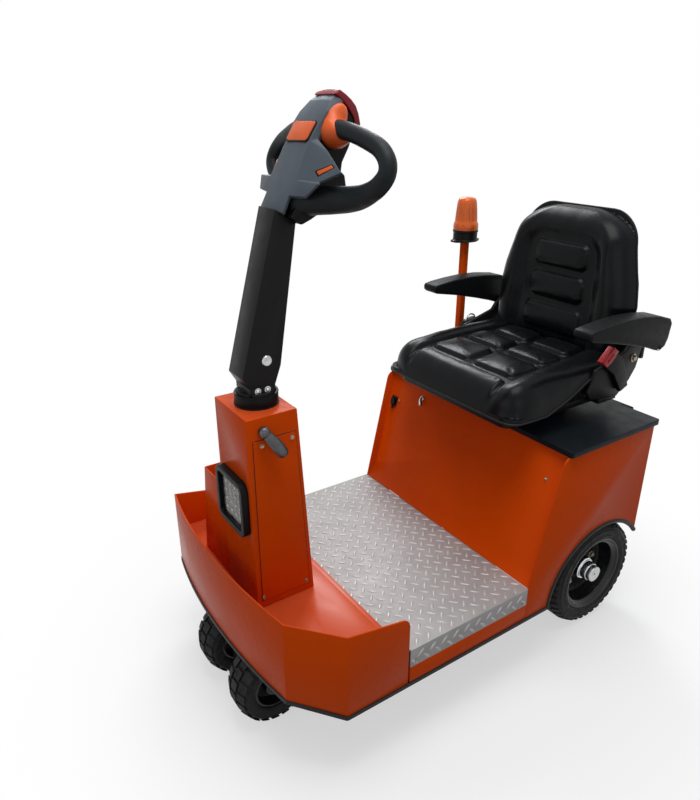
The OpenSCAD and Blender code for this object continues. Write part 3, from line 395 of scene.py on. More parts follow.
def tube(bm, path, section, upright=(0, 0, 1), caps=True):
    """Sweeps a section along a path. The section gives, for a share of the way, its points across."""
    spots = [Vector(p) for p in path]
    rings = []
    for i, p in enumerate(spots):
        along = (spots[min(i + 1, len(spots) - 1)] - spots[max(i - 1, 0)]).normalized()
        side = along.cross(Vector(upright)).normalized()
        up = side.cross(along)
        points = section(i / (len(spots) - 1))
        rings.append([bm.verts.new((p + side * a + up * b) * MM) for a, b in points])
    skin(bm, rings)
    if caps:
        bm.faces.new(rings[0][::-1])
        bm.faces.new(rings[-1])


def circle_section(radius, sides, tall=1.0):
    turns = [2 * math.pi * k / sides for k in range(sides)]
    return [(radius * math.cos(t), tall * radius * math.sin(t)) for t in turns]


def ramp(value, low, high):
    """Rises smoothly from 0 at low to 1 at high."""
    t = min(1.0, max(0.0, (value - low) / (high - low)))
    return t * t * (3.0 - 2.0 * t)


def along(value, table):
    """Reads a value from a table of pairs, straight between them."""
    for (a, p), (b, q) in zip(table, table[1:]):
        if min(a, b) <= value <= max(a, b):
            return p + (q - p) * (value - a) / (b - a)
    return table[0][1] if abs(value - table[0][0]) < abs(value - table[-1][0]) else table[-1][1]


print("Tubes are ready")


# %% Rounding edges and making pieces
def ease(bm, width, steps=2, from_angle=30.0):
    """Rounds the sharp edges by a width in millimetres."""
    limit = math.radians(from_angle)
    edges = [e for e in bm.edges if len(e.link_faces) == 2 and e.calc_face_angle(0.0) > limit]
    bmesh.ops.bevel(bm, geom=edges, offset=width * MM, offset_type="OFFSET", segments=steps, profile=0.5,
                    affect="EDGES", clamp_overlap=True)


def piece(name, bm, finish, body, stands_for=(), smooth=35.0):
    """Turns a bmesh into a piece that rides on a body."""
    bmesh.ops.recalc_face_normals(bm, faces=bm.faces)
    mesh = bpy.data.meshes.new(name)
    bm.to_mesh(mesh)
    bm.free()
    mesh.materials.append(finish)
    mesh.shade_smooth()
    mesh.set_sharp_from_angle(angle=math.radians(smooth))
    made = bpy.data.objects.new(name, mesh)
    bpy.context.scene.collection.objects.link(made)
    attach(made, body)
    if stands_for:
        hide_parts(*stands_for)
    return made


def eased_piece(name, bm, width, finish, body, stands_for=(), smooth=35.0, steps=2, from_angle=30.0):
    """Rounds the sharp edges of a shape and turns it into a piece."""
    bmesh.ops.recalc_face_normals(bm, faces=bm.faces)
    ease(bm, width, steps, from_angle)
    piece(name, bm, finish, body, stands_for, smooth)


print("Helpers are ready")

# %% [markdown]
# ## Eased copies of the rigid solids
# A CAD solid has edges of no width at all, and such an edge never catches the light. Real
# sheet and castings always have a small radius, which shows as a thin bright line. The
# CAD objects stay untouched: each is copied, its flat faces are merged, and its sharp
# edges are bevelled. The copy then stands for the node.

# %% Copy and ease the nodes
FRONT_END = 0.02


def node_copy(node):
    bm = bmesh.new()
    bm.from_mesh(frame["nodes"][node].data)
    bmesh.ops.remove_doubles(bm, verts=bm.verts, dist=2e-5)
    bmesh.ops.dissolve_limit(bm, angle_limit=math.radians(0.8), verts=bm.verts, edges=bm.edges)
    return bm


def eased_node(node, width, finish, steps=2, draw_in=0.0):
    """An eased copy of a solid. Its front end may be drawn in by some millimetres."""
    bm = node_copy(node)
    if draw_in:
        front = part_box(node)[1][0] - FRONT_END
        for v in bm.verts:
            if v.co.x > front:
                v.co.x -= draw_in * MM
    ease(bm, width, steps)
    piece(node + "_eased", bm, finish, frame["nodes"][node]["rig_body"], (node,))


eased_plan = [
    ("chassis_frame", 2.0, orange_coat), ("nose_panel", 1.8, orange_coat), ("nose_deck", 1.2, deck_coat),
    ("floor_plate", 1.0, plate_metal), ("steering_column", 2.5, orange_coat), ("column_cover", 0.8, orange_coat),
    ("storage_bin", 0.9, orange_coat), ("box_side_left", 1.5, orange_coat), ("box_side_right", 1.5, orange_coat),
    ("box_front", 1.2, orange_coat), ("box_rear", 1.2, orange_coat), ("battery", 6.0, battery_case),
    ("drive_axle", 2.0, cast_grey), ("drive_motor", 4.0, cast_grey), ("steer_carrier", 1.5, satin_black),
    ("tow_hitch", 1.5, satin_black), ("column_collar", 1.2, moulded_black), ("tiller_foot", 2.0, satin_black),
    ("tiller_arm", 4.0, satin_black), ("lid_hinges", 0.8, satin_black),
    ("seat_pan", 3.0, moulded_black), ("beacon_pole", 1.5, orange_coat),
    ("key_switch", 0.8, bare_steel), ("front_rims", 1.2, rim_black), ("armrest_pins", 0.6, bare_steel)]
for node, width, finish in eased_plan:
    eased_node(node, width, finish)
print("Eased nodes:", len(eased_plan))

# %% [markdown]
# The cover on the column's side is a loose plate. A slightly larger dark copy, sunk into
# the column, is painted shade: it shows as the dark gap round it.

# %% Gap round the column cover
bm = node_copy("column_cover")
cover_low, cover_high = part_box("column_cover")
cover_mid = (Vector(cover_low) + Vector(cover_high)) / 2.0
COVER_GAP, COVER_SINK = 1.3, 1.2
for v in bm.verts:
    v.co.x += math.copysign(COVER_GAP * MM, v.co.x - cover_mid.x)
    v.co.z += math.copysign(COVER_GAP * MM, v.co.z - cover_mid.z)
    v.co.y -= COVER_SINK * MM
# The dark copy is painted shade in the seam round the cover.
piece("column_cover_gap_shade", bm, trim_rubber, "chassis")
print("Gap of", COVER_GAP, "mm round the column cover")

# %% [markdown]
# The lid's mat stops a little behind the front panel, and the slide rails under the seat
# stop well behind the cushion's lip. Both copies are drawn in at the front only, so from
# the driver's side they sit where the solids are.

# %% Lid and slide rails
LID_BACK, RAIL_BACK = 14.0, 75.0
eased_node("seat_lid", 3.0, lid_black, 3, LID_BACK)
eased_node("seat_rails", 1.0, satin_black, 3, RAIL_BACK)
print("Drawn in: lid by", LID_BACK, "mm, rails by", RAIL_BACK, "mm")

# %% [markdown]
# ## Rubber trim on the lower edges
# The cut lower edge of the nose, the sills and both wheel arches carry a push-on rubber
# trim. It is one section swept along the edge: along the skirt it stands upright, and in
# the arch it turns with the circle. The paths follow the same sizes as the panels. The
# joint behind the nose panel is closed on each side by a flat rubber seal.

# %% Trim path and section
HALF_W, SHEET = 380.0, 5.0
SKIRT_Z, NOSE_LOW_Z = 178.0, 222.0
NOSE_X, BEND_X, BEVEL_X = 670.0, 635.0, 525.0
ARCH_X, ARCH_Z, ARCH_R = -365.0, 172.0, 208.0
BEVEL_W, ARC_RISE = 95.0, NOSE_X - BEND_X
ARC_HALF = (HALF_W - BEVEL_W + HALF_W) / 2.0
ARC_R = (ARC_HALF ** 2 + ARC_RISE ** 2) / (2.0 * ARC_RISE)
ARC_X, ARC_Y = NOSE_X - ARC_R, -BEVEL_W / 2.0
ARCH_FROM, ARCH_TO, ARCH_STEPS = 141.2, 1.7, 32


def nose_front(y, inward=0.0):
    """Where the curved front of the nose lies at a place across."""
    return ARC_X + math.sqrt((ARC_R - inward) ** 2 - (y - ARC_Y) ** 2)


def lower_edge(x):
    return SKIRT_Z + (NOSE_LOW_Z - SKIRT_Z) * max(0.0, x - BEVEL_X) / (NOSE_X + 2.0 - BEVEL_X)


mid_y = HALF_W - SHEET / 2.0
plan = [(x, mid_y) for x in range(-156, 526, 40)] + [(BEVEL_X, mid_y)]
bevel_start = Vector((BEVEL_X, mid_y))
bevel_step = (Vector((BEND_X - 2.0, HALF_W - BEVEL_W - 2.0)) - bevel_start) / 5.0
plan += [tuple(bevel_start + bevel_step * k) for k in range(1, 5)]
plan += [(nose_front(y, SHEET / 2.0), y) for y in range(283, -377, -22)]
plan += [(nose_front(-mid_y, SHEET / 2.0), -mid_y)]
plan += [(x, -mid_y) for x in range(610, -157, -40)]
skirt_path = [(x, y, lower_edge(x) + 2.0) for x, y in plan]
trim_shape = [(-5.0, -5.8), (-3.0, -7.4), (3.0, -7.4), (5.0, -5.8),
              (5.0, 4.4), (3.8, 5.8), (-3.8, 5.8), (-5.0, 4.4)]
lip_shape = circle_section(7.0, 12, 6.6 / 7.0)
bm = bmesh.new()
tube(bm, skirt_path, lambda share: trim_shape)
for side in (1, -1):
    arch_path = []
    for k in range(ARCH_STEPS + 1):
        turn = math.radians(ARCH_FROM - k * (ARCH_FROM - ARCH_TO) / ARCH_STEPS)
        x, z = ARCH_X + (ARCH_R + 1.0) * math.cos(turn), ARCH_Z + (ARCH_R + 1.0) * math.sin(turn)
        arch_path.append((x, side * mid_y, z))
    tube(bm, arch_path, lambda share: lip_shape, upright=(0, 1, 0))
piece("edge_trim", bm, trim_rubber, "chassis")
SEAL_Y, SEAL_T = 368.0, 6.8
seal_line = [(336, 187), (353, 187), (353, 276), (349, 280), (340, 280), (336, 276)]
bm = bmesh.new()
for side in (1, -1):
    side_slab(bm, seal_line, side * SEAL_Y, side * SEAL_T)
eased_piece("nose_joint_seals", bm, 1.0, trim_rubber, "chassis")
print("Trim runs through", len(skirt_path), "points along the skirt")

# %% [markdown]
# ## Checker plate
# The floor is rolled steel plate with raised lugs, bent down at both sides. The lugs lie
# at 45 degrees to the plate's edges and turn by 90 degrees from one to the next. Each is
# a low lens-shaped mound. A bump map would be quicker, but the lugs are big enough to
# cast small shadows at this distance, so they are real geometry.

# %% Lugs on the plate and its lips
PLATE_Z, LIP_H = 286.0, 54.0
PLATE_REAR, PLATE_FRONT, LEDGE_X = -64.0, 342.0, 372.0
PITCH, LUG_LONG, LUG_WIDE, LUG_HIGH, LUG_CORNERS = 27.0, 28.0, 8.4, 2.0, 12
SHADE_RING_WIDER, SHADE_RING_LIFT = 1.13, 0.22


def lug(bm, place, along, across, up):
    """A lens-shaped mound, with a dark ring of painted shade at its foot."""
    rings = []
    for share, lift in ((1.0, -0.1), (0.84, 0.55), (0.5, 0.92)):
        ring = []
        for k in range(LUG_CORNERS):
            t = 2.0 * math.pi * k / LUG_CORNERS
            long_way = math.cos(t) * LUG_LONG / 2 * share
            wide_way = math.sin(t) * abs(math.sin(t)) ** 0.15 * LUG_WIDE / 2 * share
            spot = place + along * long_way + across * wide_way + up * LUG_HIGH * lift
            ring.append(bm.verts.new(spot * MM))
        rings.append(ring)
    skin(bm, rings)
    bm.faces.new(rings[-1])
    # The flat dark ring round the foot is painted shade along the lug's edge.
    spot = place * MM
    foot = [shade_ring_bm.verts.new(spot + (v.co - spot) * SHADE_RING_WIDER + up * SHADE_RING_LIFT * MM) for v in rings[0]]
    shade_ring_bm.faces.new(foot)


bm = bmesh.new()
shade_ring_bm = bmesh.new()
count = 0
root = math.sqrt(0.5)
for i in range(-40, 41):
    for j in range(-40, 41):
        x = 139.0 + (i + j) * PITCH * root
        v = (i - j) * PITCH * root
        if not PLATE_REAR + 8 < x < LEDGE_X - 4:
            continue
        wide = HALF_W if x < PLATE_FRONT else HALF_W - SHEET
        turn = 1.0 if (i + j) % 2 else -1.0
        if abs(v) < wide - 9.0:
            lug(bm, Vector((x, v, PLATE_Z)), Vector((root, turn * root, 0)), Vector((-turn * root, root, 0)),
                Vector((0, 0, 1)))
            count += 1
        elif HALF_W + 8.0 < abs(v) < HALF_W + LIP_H - 6.0 and PLATE_REAR + 12 < x < PLATE_FRONT - 12:
            out = math.copysign(1.0, v)
            drop = abs(v) - HALF_W
            lug(bm, Vector((x, out * HALF_W, PLATE_Z - drop)), Vector((root, 0, -out * turn * root)),
                Vector((out * turn * root, 0, root)), Vector((0, out, 0)))
            count += 1
piece("checker_lugs", bm, lug_metal, "chassis", smooth=50.0)
piece("lug_painted_shade_rings", shade_ring_bm, lug_foot_shade, "chassis")
print("Lugs on the plate:", count)

# %% [markdown]
# ## Bolts
# Panels and the plate's lips are held by hexagon bolts on washers. One builder makes a
# washer, a chamfered six-sided head and the small dimple in its middle, turned to face
# along any direction. Fasteners are too small to matter in the CAD, so they live here.

# %% Bolt builder and bolts on the body
# each ring of a bolt: its radius and height as shares of the bolt's half width, and its corners
WASHER = [(1.55, 0.0, 20), (1.55, 0.22, 20), (1.45, 0.28, 20)]
ROUND_HEAD = [(1.02, 0.25, 20), (0.98, 0.62, 20), (0.72, 0.95, 20), (0.42, 1.05, 20), (0.38, 0.7, 20)]
HEX_HEAD = [(1.0, 0.25, 6), (1.0, 0.95, 6), (0.86, 1.08, 6), (0.4, 1.08, 6), (0.3, 0.98, 6)]


def bolt(bm, place, out, size, washer=True, round_head=False):
    """A bolt head of the given half width at a place, facing out."""
    out = Vector(out).normalized()
    side = out.orthogonal().normalized()
    up = out.cross(side)
    place = Vector(place)
    rings = []
    for wide, lift, corners in (WASHER if washer else []) + (ROUND_HEAD if round_head else HEX_HEAD):
        turns = [2 * math.pi * k / corners for k in range(corners)]
        rings.append([bm.verts.new((place + out * lift * size
                                    + (side * math.cos(t) + up * math.sin(t)) * wide * size) * MM) for t in turns])
    for a, b in zip(rings, rings[1:]):
        if len(a) == len(b):
            skin(bm, [a, b])
        else:
            bm.faces.new(a)
    bm.faces.new(rings[-1])


body_bolts = [
    ((487, 88.5, 780), (0, 1, 0)), ((565, 88.5, 779), (0, 1, 0)),
    ((585, 88.5, 358), (0, 1, 0)), ((462, 88.5, 358), (0, 1, 0)),
    ((326, 380, 246), (0, 1, 0)), ((-48, 380, 246), (0, 1, 0)),
    ((326, -380, 246), (0, -1, 0)), ((-48, -380, 246), (0, -1, 0)),
    ((-154.6, 320, 571.6), (0.975, 0, 0.224)), ((-154.6, -320, 571.6), (0.975, 0, 0.224))]
bm = bmesh.new()
for place, out in body_bolts:
    bolt(bm, place, out, 3.6, washer=place[1] > 0, round_head=out[2] > 0)
piece("body_bolts", bm, zinc_bolt, "chassis", smooth=30.0)
print("Bolts on the body:", len(body_bolts))

# %% [markdown]
# ## Work lamp
# A square lamp sits in the column's front: a thick moulded bezel, a reflector plate with
# a grid of small lenses behind clear glass. The bezel is the CAD housing with a generous
# round on its edges. The glass is a thin slab, and the lenses are turned domes.

# %% Lamp
LAMP_X, LAMP_Z = 600.5, 607.0
LAMP_ROWS = (-36, -12, 12, 36)
glass_tint = (0.85, 0.84, 0.84, 1.0)
clear_glass = clear_plastic("lamp_clear_glass", glass_tint, glass_tint, 1.0, 1.12, 60.0, 0.03, 0.05)
reflector = surface("lamp_reflector", (0.09, 0.085, 0.085), 0.25, metal=0.8, drift=0.2, patch=0.012, grain=0.3,
                    grain_size=0.002, grain_depth=0.0003, shine=0.3)
diode = surface("lamp_diode", (0.3, 0.29, 0.25), 0.25, drift=0.2, patch=0.004, grain_depth=0.0001)


def lamp_plate(bm, half, place, thick):
    corners = ((-half, -half), (half, -half), (half, half), (-half, half))
    slab(bm, [(LAMP_X + place, y, LAMP_Z + z) for y, z in corners], (thick, 0, 0))


def lamp_grid(bm, profile, steps):
    for row in LAMP_ROWS:
        for column in LAMP_ROWS:
            turned(bm, profile, (LAMP_X, column, LAMP_Z + row), axis="X", steps=steps)


eased_node("lamp_housing", 7.0, moulded_black, steps=5)
bm = bmesh.new()
lamp_plate(bm, 60, 9.0, 2.5)
piece("lamp_glass_cover", bm, clear_glass, "chassis", ("lamp_lens",))
bm = bmesh.new()
lamp_plate(bm, 59, 5.6, 0.8)
lamp_grid(bm, [(10.8, 6.2), (10.4, 8.0), (9.4, 8.0), (5.0, 6.5)], 20)
piece("lamp_reflector_grid", bm, reflector, "chassis")
bm = bmesh.new()
lamp_grid(bm, [(3.8, 6.4), (3.4, 7.4), (2.0, 8.2), (0.0, 8.5)], 12)
piece("lamp_diodes", bm, diode, "chassis")
print("Lamp built at height", LAMP_Z)

# %% [markdown]
# ## Clamp levers, collar rims and latches
# The column carries a hand lever on each side: a domed hub and a tapered, slightly
# drooping handle. The collar has a rolled black rim above and below. On the seat box sit a
# small black latch and a bright pull. Handles are lofted from a few sections, since a
# handle is never a plain bar.

# %% Levers and small hardware
lever_metal = surface("lever_dark_casting", (0.085, 0.086, 0.09), 0.3, metal=0.6, drift=0.2, patch=0.015, grain=0.35,
                      grain_size=0.0012)
lever_hub = [(0.0, 27.0), (6.0, 26.2), (11.5, 22.5), (13.5, 17.0), (13.5, 11.0), (10.5, 8.0), (9.0, 0.0)]
lever_way = [(563, 104, 818), (549, 108, 798), (534, 110, 776), (519, 111, 752)]
LEVER_ROOT, LEVER_SWELL, LEVER_FLAT, LEVER_TIP = 8.5, 6.5, 0.62, 0.72


def lever_section(share):
    """An oval that swells along the handle and shrinks at its tip."""
    wide = LEVER_ROOT + LEVER_SWELL * math.sin(min(1.0, share * 1.1) * math.pi * 0.72)
    if share > 0.96:
        wide *= LEVER_TIP
    return circle_section(wide, 12, LEVER_FLAT)


bm = bmesh.new()
for side in (1, -1):
    turned(bm, lever_hub, (563, side * 86.0, 818), steps=28, way=side)
    tube(bm, smooth_path([(x, side * y, z) for x, y, z in lever_way], 4), lever_section, upright=(0, 1, 0))
piece("clamp_lever_pair", bm, lever_metal, "chassis", ("clamp_levers",), smooth=45.0)

COLLAR = (530, 0, 849)
bm = bmesh.new()
for rim in ([(52.6, 1.0), (53.6, 2.2), (53.2, 4.0), (51.5, 4.4), (51.0, 1.0)],
            [(52.2, 27.0), (52.8, 28.4), (51.8, 30.3), (47.7, 30.3), (47.7, 27.0)]):
    turned(bm, rim, COLLAR, axis="Z", closed=True)
piece("collar_rims", bm, moulded_black, "chassis")

BOX_SLOPE = math.radians(12.95)
BOX_TOP_X, BOX_TOP_Z = -175.0, 660.0


def on_box_front(y, drop):
    """The way from the origin to a place on the raked front panel."""
    place = Vector((BOX_TOP_X + drop * math.tan(BOX_SLOPE), y, BOX_TOP_Z - drop))
    return Matrix.Translation(place * MM) @ Matrix.Rotation(-BOX_SLOPE, 4, "Y")


bm = bmesh.new()
slab(bm, [(0, -13, -17), (0, 13, -17), (0, 13, 17), (0, -13, 17)], (4, 0, 0))
slab(bm, [(4, -10, -9), (4, 10, -9), (4, 8, 9), (4, -8, 9)], (7, 0, 0))
slab(bm, [(4, -3, -26), (4, 3, -26), (4, 3, -9), (4, -3, -9)], (5, 0, 0))
bmesh.ops.transform(bm, matrix=on_box_front(-344.0, 97.0), verts=bm.verts)
piece("lid_latch", bm, moulded_black, "chassis", ("panel_latches",))
bm = bmesh.new()
turned(bm, [(8.5, 0.0), (8.5, 5.0), (6.5, 7.0), (0.0, 7.4)], (0, 0, 0), axis="X", steps=24)
tube(bm, smooth_path([(5, 0, 2), (11, 3, -2), (15, 9, -9), (17, 16, -18)], 5),
     lambda share: circle_section(4.6 + 1.6 * share, 12), upright=(0, 1, 0))
bmesh.ops.transform(bm, matrix=on_box_front(-212.0, 45.0), verts=bm.verts)
piece("lid_pull", bm, bare_steel, "chassis")
print("Levers, rims and latches are on")

# %% [markdown]
# ## Wheels
# A tyre is a turned carcass with rubber blocks standing on it. The rear wheel's rim is a
# deep pressed dish: a rolled lip, a step, a straight wall, and a floor that carries the
# bolts and the bright hub. A nut cap closes the axle's end and stays with the chassis.
# Turning a profile is how the real rim is made too, and it keeps every circle true.

# %% Tyres with blocks
SHOULDER, SHOULDER_FALL, BLOCK_ROOT = 26.0, 60.0, 5.0


def tyre(bm, centre, outer, bead, width, rows, count, block_high, side_rings):
    """A tyre about Y. Rows give each band of blocks its place, width, turn and share of the pitch."""
    half = width / 2.0
    base = outer - block_high
    profile = [(bead, -half + 9), (bead + 4, -half + 4), (bead + 9, -half + 1.5)]
    for ring in side_rings:
        profile += [(ring - 1.5, -half + 0.8), (ring, -half - 0.6), (ring + 1.5, -half + 0.8)]
    profile += [(base - 20, -half + 0.8), (base - 11, -half + 3.0), (base - 4, -half + 9), (base - 0.8, -half + 18),
                (base, -half + 28)]
    profile += [(r, -h) for r, h in reversed(profile)]
    turned(bm, profile, centre, steps=128)
    middle = Vector(centre)
    for place, wide, shift, share in rows:
        for k in range(count):
            start = 2.0 * math.pi * (k + shift) / count
            span = 2.0 * math.pi / count * share
            low_ring, top_ring = [], []
            for across in (-1, 1):
                h = place + across * wide / 2.0
                fall = max(0.0, abs(h) - (half - SHOULDER)) ** 2 / SHOULDER_FALL
                for step in range(4):
                    t = start + span * step / 3.0
                    for lift, ring in ((-BLOCK_ROOT, low_ring), (block_high - fall, top_ring)):
                        spot = Vector(((base + lift) * math.cos(t), h, (base + lift) * math.sin(t)))
                        ring.append(bm.verts.new((middle + spot) * MM))
            for s in range(3):
                bm.faces.new((top_ring[s], top_ring[s + 1], top_ring[4 + s + 1], top_ring[4 + s]))
                bm.faces.new((low_ring[s], top_ring[s], top_ring[s + 1], low_ring[s + 1]))
                bm.faces.new((low_ring[4 + s], low_ring[4 + s + 1], top_ring[4 + s + 1], top_ring[4 + s]))
            bm.faces.new((low_ring[0], low_ring[4], top_ring[4], top_ring[0]))
            bm.faces.new((low_ring[3], top_ring[3], top_ring[7], low_ring[7]))


# each axle: its place along the vehicle, its height and the way out to a wheel's middle
FRONT_AXLE, REAR_AXLE = (588.0, 106.0, 101.0), (-403.0, 172.0, 305.5)


def wheel_middle(axle, side):
    return (axle[0], side * axle[2], axle[1])


bm = bmesh.new()
for side in (1, -1):
    tyre(bm, wheel_middle(FRONT_AXLE, side), 106.0, 62.0, 100.0,
         [(-34, 26, 0.0, 0.7), (0, 26, 0.5, 0.76), (34, 26, 0.0, 0.7)], 20, 5.5, [86.0])
piece("front_tyre_pair", bm, tyre_rubber, "front_wheels", ("front_tyres",), smooth=40.0)
side_words = {1: "left", -1: "right"}
for side, word in side_words.items():
    bm = bmesh.new()
    tyre(bm, wheel_middle(REAR_AXLE, side), 172.0, 118.0, 95.0,
         [(-34, 18, 0.0, 0.6), (-13, 19, 0.5, 0.72), (13, 19, 0.0, 0.72), (34, 18, 0.5, 0.6)],
         40, 4.5, [131.0, 149.0])
    piece("rear_tyre_%s_tread" % word, bm, tyre_rubber, "rear_wheel_%s" % word,
          ("rear_tyre_%s" % word,), smooth=40.0)
print("Tyres done")

# %% Rear rims with bolts and hub
hub_bright = surface("hub_bright_metal", (0.66, 0.67, 0.68), 0.2, metal=1.0, drift=0.15, patch=0.02,
                     grain_depth=0.0001, gloss_drift=0.12)
rim_profile = [(118, 36), (121, 39.5), (121, 43), (118.5, 45), (114.5, 44), (112, 40), (108.5, 36.5), (104, 35.5),
               (101, 33), (99.5, 28), (98.5, -8), (96, -13), (90, -16), (74, -17), (70, -14), (50, -13), (46, -10),
               (40, -8), (36, -7), (34, -2), (34, 6), (30, 8), (20, 8), (18.2, 6), (18.2, -38), (40, -40), (104, -40),
               (109, -40), (118, -41), (118, 36)]
cap_profile = [(33.5, 6), (36, 8), (36, 12), (33, 14), (29, 13), (27, 11.5), (29, 13), (29, 32), (27.5, 34.5),
               (17, 36), (14, 37.5), (6, 37.5), (4.5, 35.5), (0, 35.2)]
nut_profile = [(25.8, 35), (25.8, 46), (24.2, 49), (16, 50.2), (13.5, 49), (5, 49), (3.5, 47.5), (0, 47.5)]
RIM_BOLTS, BOLT_RING, BOLT_DEEP = 5, 60, 13.2
nut_bm = bmesh.new()
for side, word in side_words.items():
    body = "rear_wheel_%s" % word
    centre = wheel_middle(REAR_AXLE, side)
    bm = bmesh.new()
    turned(bm, rim_profile, centre, steps=96, way=side)
    piece("rear_rim_%s_dish" % word, bm, rim_black, body, ("rear_rim_%s" % word,))
    bm = bmesh.new()
    for k in range(RIM_BOLTS):
        t = 2 * math.pi * (k + 0.3) / RIM_BOLTS
        spot = Vector((BOLT_RING * math.cos(t), -side * BOLT_DEEP, BOLT_RING * math.sin(t)))
        bolt(bm, Vector(centre) + spot, (0, side, 0), 8.0)
    piece("rear_rim_%s_bolts" % word, bm, zinc_bolt, body, smooth=30.0)
    bm = bmesh.new()
    turned(bm, cap_profile, centre, steps=48, way=side)
    piece("rear_hub_%s_cap" % word, bm, hub_bright, body)
    turned(nut_bm, nut_profile, centre, steps=40, way=side)
piece("axle_nut_caps", nut_bm, bare_steel, "chassis")
print("Rims done")

# %% [markdown]
# ## Tiller head
# The control head leans back to the driver. Its grey shell is a faceted moulding: an
# arched front strip, two wings, and a short neck. The points below are given in the
# head's own axes: across, along the spine, and out of its front. A black core sits
# behind it, and a dark red stop cap wraps over its end.

# %% Head frame and shell
HEAD_BASE = Vector((468.0, 0.0, 1283.0))
HEAD_LEAN = math.radians(33.0)
head_out = Vector((math.cos(HEAD_LEAN), 0.0, math.sin(HEAD_LEAN)))
head_along = Vector((-math.sin(HEAD_LEAN), 0.0, math.cos(HEAD_LEAN)))


def on_head(y, s, n):
    """A point of the head: across, along its spine, and out of its front."""
    return HEAD_BASE + head_along * s + head_out * n + Vector((0.0, y, 0.0))


# each row of the front strip: place along the spine, half width, and height of its edge
strip = [(0, 52, 2), (38, 50, 6), (72, 57, 10), (129, 50, 16), (157, 49.5, 17.5), (200, 56, 18.5), (223, 54.5, 17),
         (252, 42, 13), (268, 38, 6)]
# the outer corners: two of the lower ear, the foot of its step, the wing tip, then up the side to the cap
wing = [(101, 44, -1), (126, 77, -1), (104.4, 84.5, -13.4), (138, 118, -29), (93, 150, -4), (58, 167, 8),
        (57.5, 200, 8), (55.5, 240, -4), (44, 268, -8)]
# facets by the numbers of their strip corners and their wing corners
facets = [((1, 2), (0, 1)), ((2,), (1, 2)), ((2, 3), (2, 3)), ((3, 4), (3, 4)), ((4,), (4, 5)), ((4, 5), (5, 6)),
          ((5, 6), (6, 7)), ((6, 7), (7,)), ((7, 8), (7, 8))]
SHELL_EDGE, SHELL_DRAFT, SPINE_DEEP = 8.0, 0.96, 30.0
bm = bmesh.new()
middle = [bm.verts.new(on_head(0, s, n + 1.5) * MM) for s, w, n in strip]
for side in (1, -1):
    near = [bm.verts.new(on_head(side * w, s, n) * MM) for s, w, n in strip]
    far = [bm.verts.new(on_head(side * y, s, n) * MM) for y, s, n in wing]
    for k in range(len(strip) - 1):
        bm.faces.new((middle[k], near[k], near[k + 1], middle[k + 1]))
    for inner, outer in facets:
        bm.faces.new([far[k] for k in outer] + [near[k] for k in reversed(inner)])
    rim = [near[0], near[1], *far, near[-1]]
    deep, spine = [], []
    for v in rim:
        local = v.co / MM - HEAD_BASE
        across, s, n = local.y, local.dot(head_along), local.dot(head_out)
        deep.append(bm.verts.new(on_head(across * SHELL_DRAFT, s, n - SHELL_EDGE) * MM))
        spine.append(bm.verts.new(on_head(0, s, -SPINE_DEEP) * MM))
    for k in range(len(rim) - 1):
        bm.faces.new((rim[k], rim[k + 1], deep[k + 1], deep[k]))
        bm.faces.new((deep[k], deep[k + 1], spine[k + 1], spine[k]))
    bm.faces.new((middle[0], near[0], deep[0], spine[0]))
    bm.faces.new((near[-1], middle[-1], spine[-1], deep[-1]))
bmesh.ops.remove_doubles(bm, verts=bm.verts, dist=1e-5)
eased_piece("tiller_head_shell", bm, 2.0, head_grey, "steering", ("tiller_head",), 24.0, 3, 10.0)

bm = bmesh.new()
core = [(3, 258), (-8, 266), (-22, 264), (-42, 259), (-55, 254), (-65, 246), (-78, 202), (-80, 165), (-90, 142),
        (-110, 120), (-108, 92), (-86, 58), (-64, 20), (-50, 0), (-18, 0), (-18, 150)]
for wide, end in ((42.0, 300), (58.0, 150)):
    slab(bm, [on_head(-wide, s, n) for n, s in core if s <= end], (0, 2 * wide, 0))
eased_piece("tiller_head_core", bm, 5.0, moulded_black, "steering", ("tiller_core",), steps=3)

# %% Red stop cap
CAP_HALF, CAP_ARCH, CAP_STEPS = 43.0, 4.0, 6
cap_out = [(282, 5), (283, -14), (282, -31), (278, -47), (269, -61), (252, -79)]
cap_in = [(246, -65), (255, -55), (261, -41), (265, -29), (268, -14), (269, 0), (268, 10)]
bm = bmesh.new()
rings = []
for k in range(2 * CAP_STEPS + 1):
    y = CAP_HALF * (k / CAP_STEPS - 1.0)
    arch = CAP_ARCH * (1.0 - (y / CAP_HALF) ** 2)
    ring = [on_head(y, s + arch, n) for s, n in cap_out] + [on_head(y, s, n) for s, n in cap_in]
    rings.append([bm.verts.new(p * MM) for p in ring])
skin(bm, rings)
bm.faces.new(rings[0][::-1])
bm.faces.new(rings[-1])
eased_piece("stop_cap_red", bm, 2.4, stop_red, "steering", ("stop_cap",), 24.0, 3, 40.0)
print("Head built with its foot at", tuple(HEAD_BASE))

# %% [markdown]
# The orange controls are snapped into the shell: a flat pad across the spine, a rocker on
# each wing and a thumb wheel on each side. The pad and the rockers sit in a thin dark gap,
# which is painted shade: a separate black frame under them. A thumb wheel is round below,
# where it meets the grip, and grows a lobe above for the thumb, so its radius changes with the angle.

# %% Pad, rockers and their gaps
pad_corners = [(-36, 198), (38, 198), (43, 194), (40, 159), (34, 155), (-36, 153), (-45, 157), (-44, 192)]
wing_up = Vector((0.451, -0.038, 0.892))
rocker_base = [(90.0, 103.0, -5.3), (113.8, 125.2, -16.4), (120.2, 121.9, -19.8), (97.6, 97.5, -9.4)]
rocker_lift = [1.0, 1.6, 1.6, 1.0]
gap_base = [(85.0, 102.6, -2.8), (114.0, 128.2, -16.4), (122.4, 123.6, -20.8), (97.2, 93.5, -9.4)]
ROCKER_DEEP, ROCKER_DIP, GAP_HIGH = 3.0, 0.4, 3.35
PAD_S, PAD_N, PAD_HIGH = 176, 18.0, 4.4


